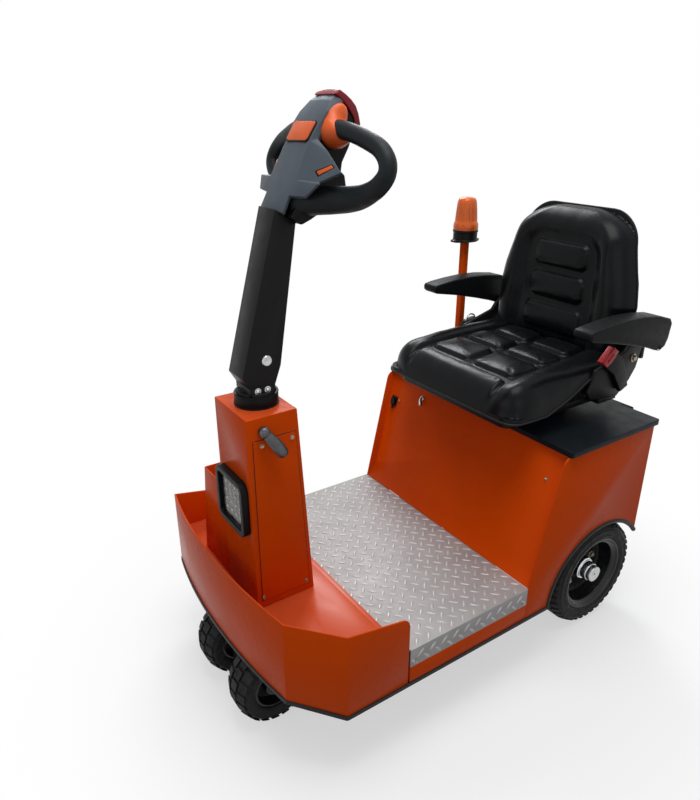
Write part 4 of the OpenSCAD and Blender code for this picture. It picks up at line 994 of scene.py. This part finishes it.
def wing_spots(points, side, lift):
    """Points of a wing, mirrored to a side and lifted along the wing's face."""
    turn = Vector((side, 1.0, 1.0))
    return [on_head(*((Vector(p) + wing_up * h) * turn)) for p, h in zip(points, lift)]


bm = bmesh.new()
gap_shade_bm = bmesh.new()
slab(bm, [on_head(y, s, PAD_N + (s - PAD_S) * 0.02) for y, s in pad_corners], head_out * PAD_HIGH)
slab(gap_shade_bm, [on_head(y * 1.06, PAD_S + (s - PAD_S) * 1.12, 17.6) for y, s in pad_corners], head_out * 2.9)
for side in (1, -1):
    low = wing_spots(rocker_base, side, [-ROCKER_DEEP] * 4)
    top = wing_spots(rocker_base, side, rocker_lift)
    wing_out = on_head(*(wing_up * Vector((side, 1.0, 1.0)))) - HEAD_BASE
    dip = [(top[0] + top[1]) / 2 - wing_out * ROCKER_DIP, (top[2] + top[3]) / 2 - wing_out * ROCKER_DIP]
    a, b, c, d = [bm.verts.new(p * MM) for p in low]
    e, f, g, h = [bm.verts.new(p * MM) for p in top]
    p, q = [bm.verts.new(p * MM) for p in dip]
    for corners in ((a, b, c, d), (e, p, q, h), (p, f, g, q), (a, b, f, p, e), (c, d, h, q, g), (b, c, g, f),
                    (d, a, e, h)):
        bm.faces.new(corners)
    slab(gap_shade_bm, wing_spots(gap_base, side, [-ROCKER_DEEP] * 4), wing_out * GAP_HIGH)
eased_piece("head_switch_set", bm, 1.3, switch_orange, "steering", ("head_switches",), 30.0, 3, 40.0)
# The black frame is painted shade in the gaps round the pad and the rockers.
eased_piece("head_switch_gap_shade", gap_shade_bm, 0.8, moulded_black, "steering")
print("Pad of", len(pad_corners), "corners and two rockers")

# %% Thumb wheels
# the wheel's radius by its angle, and its section by a share of that radius and its place across
wheel_turn = [(-180, 34), (-150, 35), (-120, 36), (-93, 37), (-70, 33), (-45, 30), (-28, 34), (-15, 46), (0, 56),
              (8, 58), (18, 55), (32, 48), (48, 40), (65, 33), (97, 31), (125, 33), (150, 33.5), (180, 34)]
wheel_profile = [(0.4, 50), (0.95, 50.5), (1.01, 53), (1.03, 59), (1.01, 66), (0.95, 74), (0.86, 82), (0.76, 89),
                 (0.66, 94), (0.56, 97), (0.48, 97.5), (0.4, 96)]
WHEEL_S, WHEEL_N, WHEEL_IN, WHEEL_STEPS = 202.0, -20.0, 50.0, 90
bm = bmesh.new()
for side in (1, -1):
    rings = []
    for k in range(WHEEL_STEPS):
        degrees = 360.0 * k / WHEEL_STEPS - 180.0
        t = math.radians(degrees)
        near = [(degrees + d + 180.0) % 360.0 - 180.0 for d in (-8, -4, 0, 4, 8)]
        reach = sum(along(d, wheel_turn) for d in near) / 5.0
        ring = []
        for share, y in wheel_profile:
            s, n = reach * share * math.cos(t), reach * share * math.sin(t)
            flat = 0.84 - 0.5 * ramp(s, -8.0, 34.0)
            spot = on_head(side * (WHEEL_IN + (y - WHEEL_IN) * flat), WHEEL_S + s, WHEEL_N + n)
            ring.append(bm.verts.new(spot * MM))
        rings.append(ring)
    skin(bm, rings, loop=True)
piece("thumb_wheel_pair", bm, switch_orange, "steering", ("thumb_wheels",), smooth=60.0)
print("Thumb wheels turn about", (WHEEL_S, WHEEL_N))

# %% [markdown]
# ## Grips
# The grips are thick rubber tubes. Each leaves its thumb wheel, sweeps out and back, and
# returns under the wing to the foot of the head, much thicker there. A smooth curve
# through measured points carries a round section whose radius grows along the way.

# %% Grip tubes
grip_route = [(40, 205, -16), (75, 205, -16), (115, 203, -25), (155, 197, -36), (198, 186, -48), (226, 166, -58),
              (233, 143, -66), (216, 122, -74), (188, 108, -81), (155, 97, -86), (122, 86, -82), (90, 72, -66),
              (62, 54, -44), (30, 38, -32)]
grip_radius = [(0.0, 18.5), (0.45, 18.5), (0.6, 21.0), (0.72, 26.0), (0.85, 29.5), (1.0, 29.0)]
bm = bmesh.new()
for side in (1, -1):
    way = smooth_path([on_head(side * y, s, n) for y, s, n in grip_route], 6)
    tube(bm, way, lambda share: circle_section(along(share, grip_radius), 28), upright=(1, 0, 0))
piece("grip_tube_pair", bm, grip_rubber, "steering", ("handle_grips",), smooth=50.0)
print("Grip route of", len(grip_route), "points")

# %% [markdown]
# ## Tiller arm details
# A bright pivot cap closes the hinge of the arm on both sides, and two socket screws hold
# the neck. They are turned pieces set on the arm's flat sides.

# %% Pivot caps and screws
ARM_HALF, PIVOT_X, PIVOT_Z, NECK_Z = 37.0, 517.0, 961.0, 891.0
pivot_profile = [(12.5, 0), (12.5, 2.6), (11, 4.2), (7, 4.6), (5.5, 3.8), (0, 3.6)]
bm = bmesh.new()
for side in (1, -1):
    turned(bm, pivot_profile, (PIVOT_X, side * ARM_HALF, PIVOT_Z), steps=36, way=side)
    for x in (518.0, 543.0):
        bolt(bm, (x, side * ARM_HALF, NECK_Z), (0, side, 0), 5.2, round_head=True)
piece("arm_pivot_caps", bm, bare_steel, "steering")
print("Pivot caps at height", PIVOT_Z)

# %% [markdown]
# ## Soft pads: the shared recipe
# The seat and backrest are foam under leather cloth, sewn down along channels. Each is
# laid out as a fine grid over its outline. The height of a grid point tells whether it
# lies on a pad, in a sewn channel or on a bolster, and the rim falls away in a quarter
# round. A short cloth simulation then holds the channels and lets air pressure fill the
# pads, so they swell between their seams as stuffed covers do.

# %% Grid and rims
def soft_grid(bm, wide, long, spot, rims):
    """A grid of points with rims round it. Returns the grid's vertices with their hold, from 0 to 1."""
    held = {}
    grid = []
    for i in range(long + 1):
        row = []
        for j in range(wide + 1):
            place, hold = spot(2.0 * j / wide - 1.0, i / long)
            v = bm.verts.new(Vector(place) * MM)
            held[v] = hold
            row.append(v)
        grid.append(row)
    for i in range(long):
        for j in range(wide):
            bm.faces.new((grid[i][j], grid[i][j + 1], grid[i + 1][j + 1], grid[i + 1][j]))
    edge = grid[0][:] + [row[-1] for row in grid[1:]] + grid[-1][-2::-1] + [row[0] for row in grid[-2:0:-1]]
    for rim in rims:
        ring = [bm.verts.new(rim(v.co / MM) * MM) for v in edge]
        for v in ring:
            held[v] = 1.0
        for k in range(len(edge)):
            m = (k + 1) % len(edge)
            bm.faces.new((edge[k], ring[k], ring[m], edge[m]))
        edge = ring
    bm.faces.new(edge)
    return held


print("Grid is ready")

# %% Filling
PAD_PRESSURE, SWELL_CAP, SWELL_FRAMES = 4.0, 5.0, 14


def fill_pad(pad, held):
    """Lets the pad swell by air pressure, up to a cap in millimetres, with its channels held."""
    group = pad.vertex_groups.new(name="held")
    for index, hold in held.items():
        if hold > 0.0:
            group.add([index], min(1.0, hold), "REPLACE")
    rest = [v.co.copy() for v in pad.data.vertices]
    cloth = pad.modifiers.new("fill", "CLOTH")
    weave = {"quality": 3, "mass": 0.25, "tension_stiffness": 25.0, "compression_stiffness": 25.0,
             "shear_stiffness": 12.0, "bending_stiffness": 2.0, "use_pressure": True,
             "uniform_pressure_force": PAD_PRESSURE, "vertex_group_mass": "held"}
    for key, value in weave.items():
        setattr(cloth.settings, key, value)
    cloth.settings.effector_weights.gravity = 0.0
    cloth.collision_settings.use_collision = False
    for number in range(1, SWELL_FRAMES + 1):
        bpy.context.scene.frame_set(number)
    swollen = pad.evaluated_get(bpy.context.evaluated_depsgraph_get()).data
    moves = [a.co - b for a, b in zip(swollen.vertices, rest)]
    pad.modifiers.remove(cloth)
    bpy.context.scene.frame_set(1)
    furthest = 0.0
    for v, start, move in zip(pad.data.vertices, rest, moves):
        if move.length > SWELL_CAP * MM:
            move = move.normalized() * SWELL_CAP * MM
        furthest = max(furthest, move.length)
        v.co = start + move
    pad.data.update()
    return furthest / MM


def soft_cover(name, wide, long, spot, rims, node, piped):
    """A stuffed cover. Returns it, how far it swelled, and the points of the rim that is piped."""
    bm = bmesh.new()
    held = soft_grid(bm, wide, long, spot, rims)
    bm.verts.index_update()
    holds = {v.index: h for v, h in held.items()}
    size = 2 * (wide + long)
    start = (wide + 1) * (long + 1) + piped * size
    rim = [v.co / MM for v in list(held)[start:start + size]]
    cover = piece(name, bm, seat_leather, "lid", (node,), smooth=70.0)
    return cover, fill_pad(cover, holds), rim


def piping(name, rim, radius, upright):
    """A sewn cord round a cover's edge."""
    bm = bmesh.new()
    tube(bm, rim[::2] + [rim[0]], lambda share: circle_section(radius, 10), upright=upright, caps=False)
    piece(name, bm, trim_rubber, "lid", smooth=60.0)


print("Filling is ready")


# %% Pads and corners
def corner_cut(gap, radius):
    """How much narrower a rounded end is, at a distance from the end."""
    if gap >= radius:
        return 0.0
    return radius * (1.0 - math.sqrt(max(0.0, 1.0 - ((radius - gap) / radius) ** 2)))


CHANNEL, PAD_SWELL, WAVE = 12.0, 4.0, 1.2


def pad_gap(u, w, half_u, half_w, radius=24.0):
    """How far a point lies outside a rounded rectangle; negative inside."""
    a, b = abs(u) - half_u + radius, abs(w) - half_w + radius
    return math.hypot(max(a, 0.0), max(b, 0.0)) + min(max(a, b), 0.0) - radius


def pad_rise(gap):
    return ramp(-gap, -1.5, 8.5)


def pad_dome(u, w, half_u, half_w):
    """How far a pad bulges: most in its middle, nothing at its edge."""
    return PAD_SWELL * max(0.0, 1.0 - (u / half_u) ** 2) * max(0.0, 1.0 - (w / half_w) ** 2)


print("Channels are", CHANNEL, "mm deep")

# %% [markdown]
# ## Seat cushion
# The cushion has a rolled front lip, two long bolsters and six raised pads in three rows,
# with a full-width pad in front. Channels about ten millimetres deep run between them.

# %% Cushion shape
SEAT_FRONT, SEAT_REAR, SEAT_LOW, SEAM_Z = -58.0, -500.0, 720.0, 742.0
SEAT_CORNER, LIP_ROLL, SIDE_ROLL, REAR_ROLL = 40.0, 78.0, 62.0, 30.0
seat_width = [(-58, 266), (-150, 270), (-280, 267), (-400, 258), (-505, 246)]
seat_top = [(-58, 806), (-100, 814), (-150, 820), (-240, 826), (-370, 830), (-455, 832), (-505, 833)]
bolster_in = [(-58, 180), (-130, 180), (-280, 173), (-390, 162), (-505, 148)]
# where the side seam rises from the front to the back
seam_rise = [(-58, 0), (-190, 0), (-262, 26), (-356, 68), (-420, 76), (-505, 76)]
# each pad: front and rear end, inner and outer side
seat_pads = [(-150.0, -266.0, 8.0, 166.0), (-280.0, -373.0, 8.0, 160.0), (-387.0, -482.0, 8.0, 148.0)]


def cushion_spot(across, share):
    x = SEAT_FRONT + (SEAT_REAR - SEAT_FRONT) * share
    wide = along(x, seat_width)
    from_front, from_rear = SEAT_FRONT - x, x - SEAT_REAR
    wide -= corner_cut(from_front, SEAT_CORNER) + corner_cut(from_rear, SEAT_CORNER)
    y = across * wide
    inner = along(x, bolster_in)
    mask = ramp(abs(y) - inner, 0.0, 10.0)
    swell = 6.0 * ramp(abs(y) - inner, 0.0, 45.0)
    mask = max(mask, pad_rise(pad_gap(x - 20.0, y, 153.0, 170.0)))
    for front, rear, inside, outside in seat_pads:
        u, w = x - (front + rear) / 2.0, abs(y) - (inside + outside) / 2.0
        half_u, half_w = (front - rear) / 2.0, (outside - inside) / 2.0
        rise = pad_rise(pad_gap(u, w, half_u, half_w))
        swell = max(swell, rise * pad_dome(u, w, half_u, half_w))
        mask = max(mask, rise)
    lip = max(0.0, 1.0 - from_front / LIP_ROLL)
    side = max(0.0, 1.0 - (wide - abs(y)) / SIDE_ROLL)
    back = max(0.0, 1.0 - from_rear / REAR_ROLL)
    fall = min(1.0, math.sqrt(lip * lip + side * side + back * back))
    low = SEAM_Z + 0.8 * along(x, seam_rise)
    high = along(x, seat_top) + swell - CHANNEL * (1.0 - mask) * (1.0 - fall ** 5)
    wave = noise.noise(Vector((x, y, 0.0)) * 0.02) * WAVE
    z = low + (high + wave - low) * math.sqrt(max(0.0, 1.0 - fall ** 2.3))
    hold = max(1.0 - mask if fall < 0.8 else 0.0, 1.0 if fall > 0.97 else 0.0)
    return (x, y, z), hold


def cushion_rim(out, z, follow):
    def rim(p):
        flat = Vector((p.x - (SEAT_FRONT + SEAT_REAR) / 2.0, p.y, 0.0))
        q = p + flat.normalized() * out
        q.z = z + follow * along(p.x, seam_rise)
        return q
    return rim


seat_rims = [cushion_rim(1.5, 736.0, 0.88), cushion_rim(1.0, 730.0, 0.94), cushion_rim(-4.0, 725.0, 0.9),
             cushion_rim(-16.0, SEAT_LOW, 0.3)]
cushion, moved, rim_line = soft_cover("seat_cushion_cover", 144, 132, cushion_spot, seat_rims, "seat_cushion", 1)
piping("cushion_piping", rim_line, 3.4, (0, 0, 1))
print("Cushion pads swelled by at most", round(moved, 1), "mm")

# %% [markdown]
# ## Backrest
# The backrest uses the same recipe standing up. Three pads sit one above the other in a
# shallow well, the bolsters curve forward on both sides, and the top is one smooth roll.
# Behind the foam lies a moulded shell.

# %% Backrest shape
BACK_LOW, BACK_HIGH, BACK_SIDE_ROLL, BACK_TOP_ROLL = 764.0, 1219.0, 66.0, 82.0
TOP_DENSER = 1.35
back_well = [(764, 138), (900, 134), (1219, 116)]
back_width = [(764, 222), (850, 238), (965, 243), (1030, 233), (1100, 213), (1219, 182)]
back_depth = [(764, 98), (965, 96), (1219, 74)]
back_pads = [(1044.0, 1121.0, 99.0), (948.0, 1026.0, 101.0), (848.0, 928.0, 110.0)]
# how far the cover wraps round the side, as a share of the depth: fully over the top, less below
cover_share = [(764, 0.62), (960, 0.66), (1062, 0.7), (1124, 0.77), (1168, 0.87), (1219, 0.98)]


def back_front(z):
    return -482.0 - 0.0704 * (z - 917.0)


def backrest_spot(across, share):
    z = BACK_LOW + (BACK_HIGH - BACK_LOW) * (1.0 - (1.0 - share) ** TOP_DENSER)
    wide = along(z, back_width)
    from_top, from_low = BACK_HIGH - z, z - BACK_LOW
    wide -= corner_cut(from_top, 74.0) + corner_cut(from_low, 30.0)
    y = across * wide
    inner = along(z, back_well)
    well = pad_gap(z - 934.0, y, 204.0, inner, 60.0)
    mask = ramp(well, -4.0, 34.0)
    bulge = 14.0 * ramp(abs(y), inner, inner + 50.0) * (1.0 - ramp(z, 1110.0, 1200.0))
    for low, high, half in back_pads:
        u, half_u = z - (low + high) / 2.0, (high - low) / 2.0
        rise = pad_rise(pad_gap(u, y, half_u, half))
        bulge = max(bulge, rise * pad_dome(u, y, half_u, half))
        mask = max(mask, rise)
    side = max(0.0, 1.0 - (wide - abs(y)) / BACK_SIDE_ROLL)
    top = max(0.0, 1.0 - from_top / BACK_TOP_ROLL)
    fall = min(1.0, math.sqrt(side * side + top * top))
    depth = along(z, back_depth) * along(z, cover_share)
    wave = noise.noise(Vector((y, z, 40.0)) * 0.02) * WAVE
    front = bulge + wave - CHANNEL * (1.0 - mask) * (1.0 - fall ** 2)
    x = back_front(z) - depth + (depth + front) * math.sqrt(max(0.0, 1.0 - fall ** 2.0))
    hold = max(1.0 - mask if fall < 0.5 else 0.0, 1.0 if fall > 0.97 or from_low < 6.0 else 0.0)
    return (x, y, z), hold


def back_rim(share, shrink):
    def rim(p):
        middle_z = (BACK_LOW + BACK_HIGH) / 2.0
        depth = along(p.z, back_depth) * (along(p.z, cover_share) + share)
        return Vector((back_front(p.z) - depth, p.y * shrink, middle_z + (p.z - middle_z) * shrink))
    return rim


back_rims = [back_rim(0.04, 1.004), back_rim(0.1, 1.0), back_rim(0.14, 0.985), back_rim(0.17, 0.95)]
backrest, moved, edge_of_back = soft_cover("backrest_cover", 124, 124, backrest_spot, back_rims, "backrest_pad", 0)
piping("backrest_piping", edge_of_back, 3.0, (1, 0, 0))
print("Backrest pads swelled by at most", round(moved, 1), "mm")

# %% Backrest shell
SHELL_LOW, SHELL_HIGH, SHELL_CORNER, SHELL_MIDDLE = 790.0, 1212.0, 72.0, 998.0
SHELL_STEPS, SHELL_NARROWER = 48, 0.955
shell_line = []
for k in range(SHELL_STEPS):
    z = SHELL_LOW + (SHELL_HIGH - SHELL_LOW) * k / (SHELL_STEPS - 1.0)
    shell_line.append((z, along(z, back_width) * SHELL_NARROWER - corner_cut(SHELL_HIGH - z, SHELL_CORNER)))
outline = shell_line + [(z, -wide) for z, wide in reversed(shell_line)]
bm = bmesh.new()
layers = []
for depth, shrink in ((0.0, 0.92), (0.85, 0.955), (1.12, 0.93), (1.25, 0.87), (1.3, 0.78)):
    ring = []
    for z, wide in outline:
        height = SHELL_MIDDLE + (z - SHELL_MIDDLE) * shrink
        share = max(depth, along(height, cover_share) + 0.12 * depth)
        x = back_front(height) - along(height, back_depth) * share
        ring.append(bm.verts.new(Vector((x, wide * shrink, height)) * MM))
    layers.append(ring)
skin(bm, layers)
bm.faces.new(layers[0])
bm.faces.new(layers[-1])
piece("backrest_shell_moulding", bm, moulded_black, "lid", ("backrest_shell",), smooth=40.0)
print("Shell has", len(layers), "layers")

# %% [markdown]
# ## Armrests, brackets and belt
# An armrest is a long foam wedge on a steel core, with a deep rear end round its pivot.
# Side plates join cushion, backrest and armrest. On the left plate sits the red buckle,
# on the right one the belt's reel with its bright ring.

# %% Armrests
ARM_Y, ARM_WIDE = 271.0, 60.0
arm_line = [(-603, 934), (-592, 948), (-540, 963), (-470, 972), (-400, 975), (-330, 972), (-272, 967), (-252, 963),
            (-247, 958), (-248, 944), (-258, 937), (-340, 921), (-430, 899), (-510, 877), (-540, 865), (-564, 858),
            (-586, 868), (-597, 890)]
for side, word in side_words.items():
    bm = bmesh.new()
    side_slab(bm, arm_line, side * ARM_Y, side * ARM_WIDE)
    body = "armrest_%s" % word
    eased_piece("armrest_%s_pad" % word, bm, 5.0, arm_skin, body, (body,), 50.0, 4, 40.0)
print("Armrest outline of", len(arm_line), "points")

# %% Brackets with bolts
plate_line = [(-348, 760), (-366, 733), (-430, 722), (-488, 718), (-535, 756), (-560, 792), (-574, 850), (-566, 884),
              (-540, 892), (-516, 872), (-500, 852), (-440, 836), (-378, 818)]
foot_line = [(-420, 704), (-420, 720), (-500, 720), (-500, 704)]
back_line = [(-575, 815), (-575, 860), (-590, 862), (-590, 813)]
bm = bmesh.new()
for side in (1, -1):
    for line, y, thick in ((plate_line, 258.0, 12.4), (foot_line, 205.0, 56.0), (back_line, 190.0, 80.0)):
        side_slab(bm, line, side * y, side * thick)
eased_piece("seat_side_plates", bm, 3.0, satin_black, "lid", ("seat_brackets",), steps=3)
bm = bmesh.new()
for side in (1, -1):
    for place, size in (((-538, 826), 8.0), ((-497, 744), 7.0)):
        bolt(bm, (place[0], side * 270.6, place[1]), (0, side, 0), size)
piece("seat_plate_bolts", bm, zinc_bolt, "lid", smooth=30.0)

# %% Buckle and belt reel
buckle_line = [(-380, 838), (-420, 874), (-470, 842), (-510, 752), (-478, 738), (-434, 800)]
reel_line = [(-455, 748), (-392, 748), (-386, 800), (-400, 822), (-446, 830), (-462, 806)]
bm = bmesh.new()
side_slab(bm, buckle_line, 272.0, 15.0)
eased_piece("belt_buckle_body", bm, 3.5, moulded_black, "lid", steps=3)
bm = bmesh.new()
side_slab(bm, [(-372, 848), (-414, 886), (-437, 870), (-394, 830)], 268.0, 22.0)
bmesh.ops.recalc_face_normals(bm, faces=bm.faces)
ease(bm, 2.5, steps=3)
side_slab(bm, [(-392, 848), (-413, 867), (-424, 859), (-403, 840)], 290.0, 2.0)
piece("belt_buckle_button", bm, buckle_red, "lid", ("belt_buckle",))
bm = bmesh.new()
side_slab(bm, reel_line, -274.0, -26.0)
eased_piece("belt_reel_case", bm, 5.0, moulded_black, "lid", ("belt_reel",), steps=3)
bm = bmesh.new()
ring_line = [(-400, 826), (-416, 842), (-436, 838), (-440, 824), (-420, 816), (-400, 826)]
tube(bm, smooth_path([(x, -282, z) for x, z in ring_line], 5), lambda share: circle_section(2.6, 8), upright=(0, 1, 0))
piece("belt_ring", bm, bare_steel, "lid", smooth=50.0)
print("Belt parts are on")

# %% [markdown]
# ## Beacon
# The warning beacon is an amber lens with fine upright ribs on a black drum with two ears.
# The lens is thin coloured plastic, so it is partly clear and shows a hint of the lamp
# inside. Ribs are made by letting the radius wave as the profile is turned.

# %% Beacon
amber = clear_plastic("amber_lens_plastic", (0.72, 0.085, 0.002, 1.0), (0.9, 0.17, 0.004, 1.0), 0.25, 1.4, 35.0,
                      0.1, 0.24)
BEACON = Vector((-457.0, -372.5, 1072.3))
LENS_STEPS, RIBS, RIB_HIGH = 144, 24, 0.7
# each ring of the lens: radius, height and how much of the ribs it shows
lens_profile = [(41.0, 37, 0), (42.0, 46, 0), (41.6, 56, 0), (39.5, 62, 0), (37.2, 65, 0.2), (36.4, 72, 1),
                (34.0, 102, 1), (31.6, 126, 0.7), (30.0, 134, 0), (26.5, 140, 0), (18.0, 143, 0), (0.0, 144, 0)]
core_profile = [(26, 38), (26, 48), (15, 54), (13, 80), (21, 88), (24, 108), (16, 116), (0, 118)]
bm = bmesh.new()
rings = []
for k in range(LENS_STEPS):
    t = 2.0 * math.pi * k / LENS_STEPS
    ring = []
    for r, h, rib in lens_profile:
        wave = r + RIB_HIGH * rib * math.cos(RIBS * t)
        ring.append(bm.verts.new((BEACON + Vector((wave * math.cos(t), wave * math.sin(t), h))) * MM))
    rings.append(ring)
skin(bm, rings, wrap=False, loop=True)
bmesh.ops.remove_doubles(bm, verts=bm.verts, dist=1e-6)
piece("beacon_amber_lens", bm, amber, "lid", ("beacon_lens",), smooth=50.0)
bm = bmesh.new()
turned(bm, core_profile, BEACON, axis="Z", steps=36)
piece("beacon_lamp_core", bm, reflector, "lid", smooth=40.0)
bm = bmesh.new()
drum = [(36, 0), (42.0, 1), (42.0, 5), (40.4, 7), (40.4, 30), (42.4, 32), (42.4, 38), (40.0, 40), (34, 40)]
turned(bm, drum, BEACON, axis="Z")
ears = []
for k in range(40):
    t = 2.0 * math.pi * k / 40
    reach = 54.0 if abs(math.cos(t)) > 0.75 else 42.0
    x = math.copysign(min(reach, abs(58 * math.cos(t))), math.cos(t))
    ears.append(BEACON + Vector((x, 32.0 * math.sin(t), 0.0)))
slab(bm, ears, (0, 0, 5.0))
piece("beacon_drum", bm, moulded_black, "lid", ("beacon_base",), smooth=35.0)
bm = bmesh.new()
for side in (1, -1):
    bolt(bm, BEACON + Vector((side * 47.5, 0, 5.0)), (0, 0, 1), 3.4)
piece("beacon_bolts", bm, zinc_bolt, "lid", smooth=30.0)
print("Beacon stands at", tuple(round(v, 1) for v in BEACON))
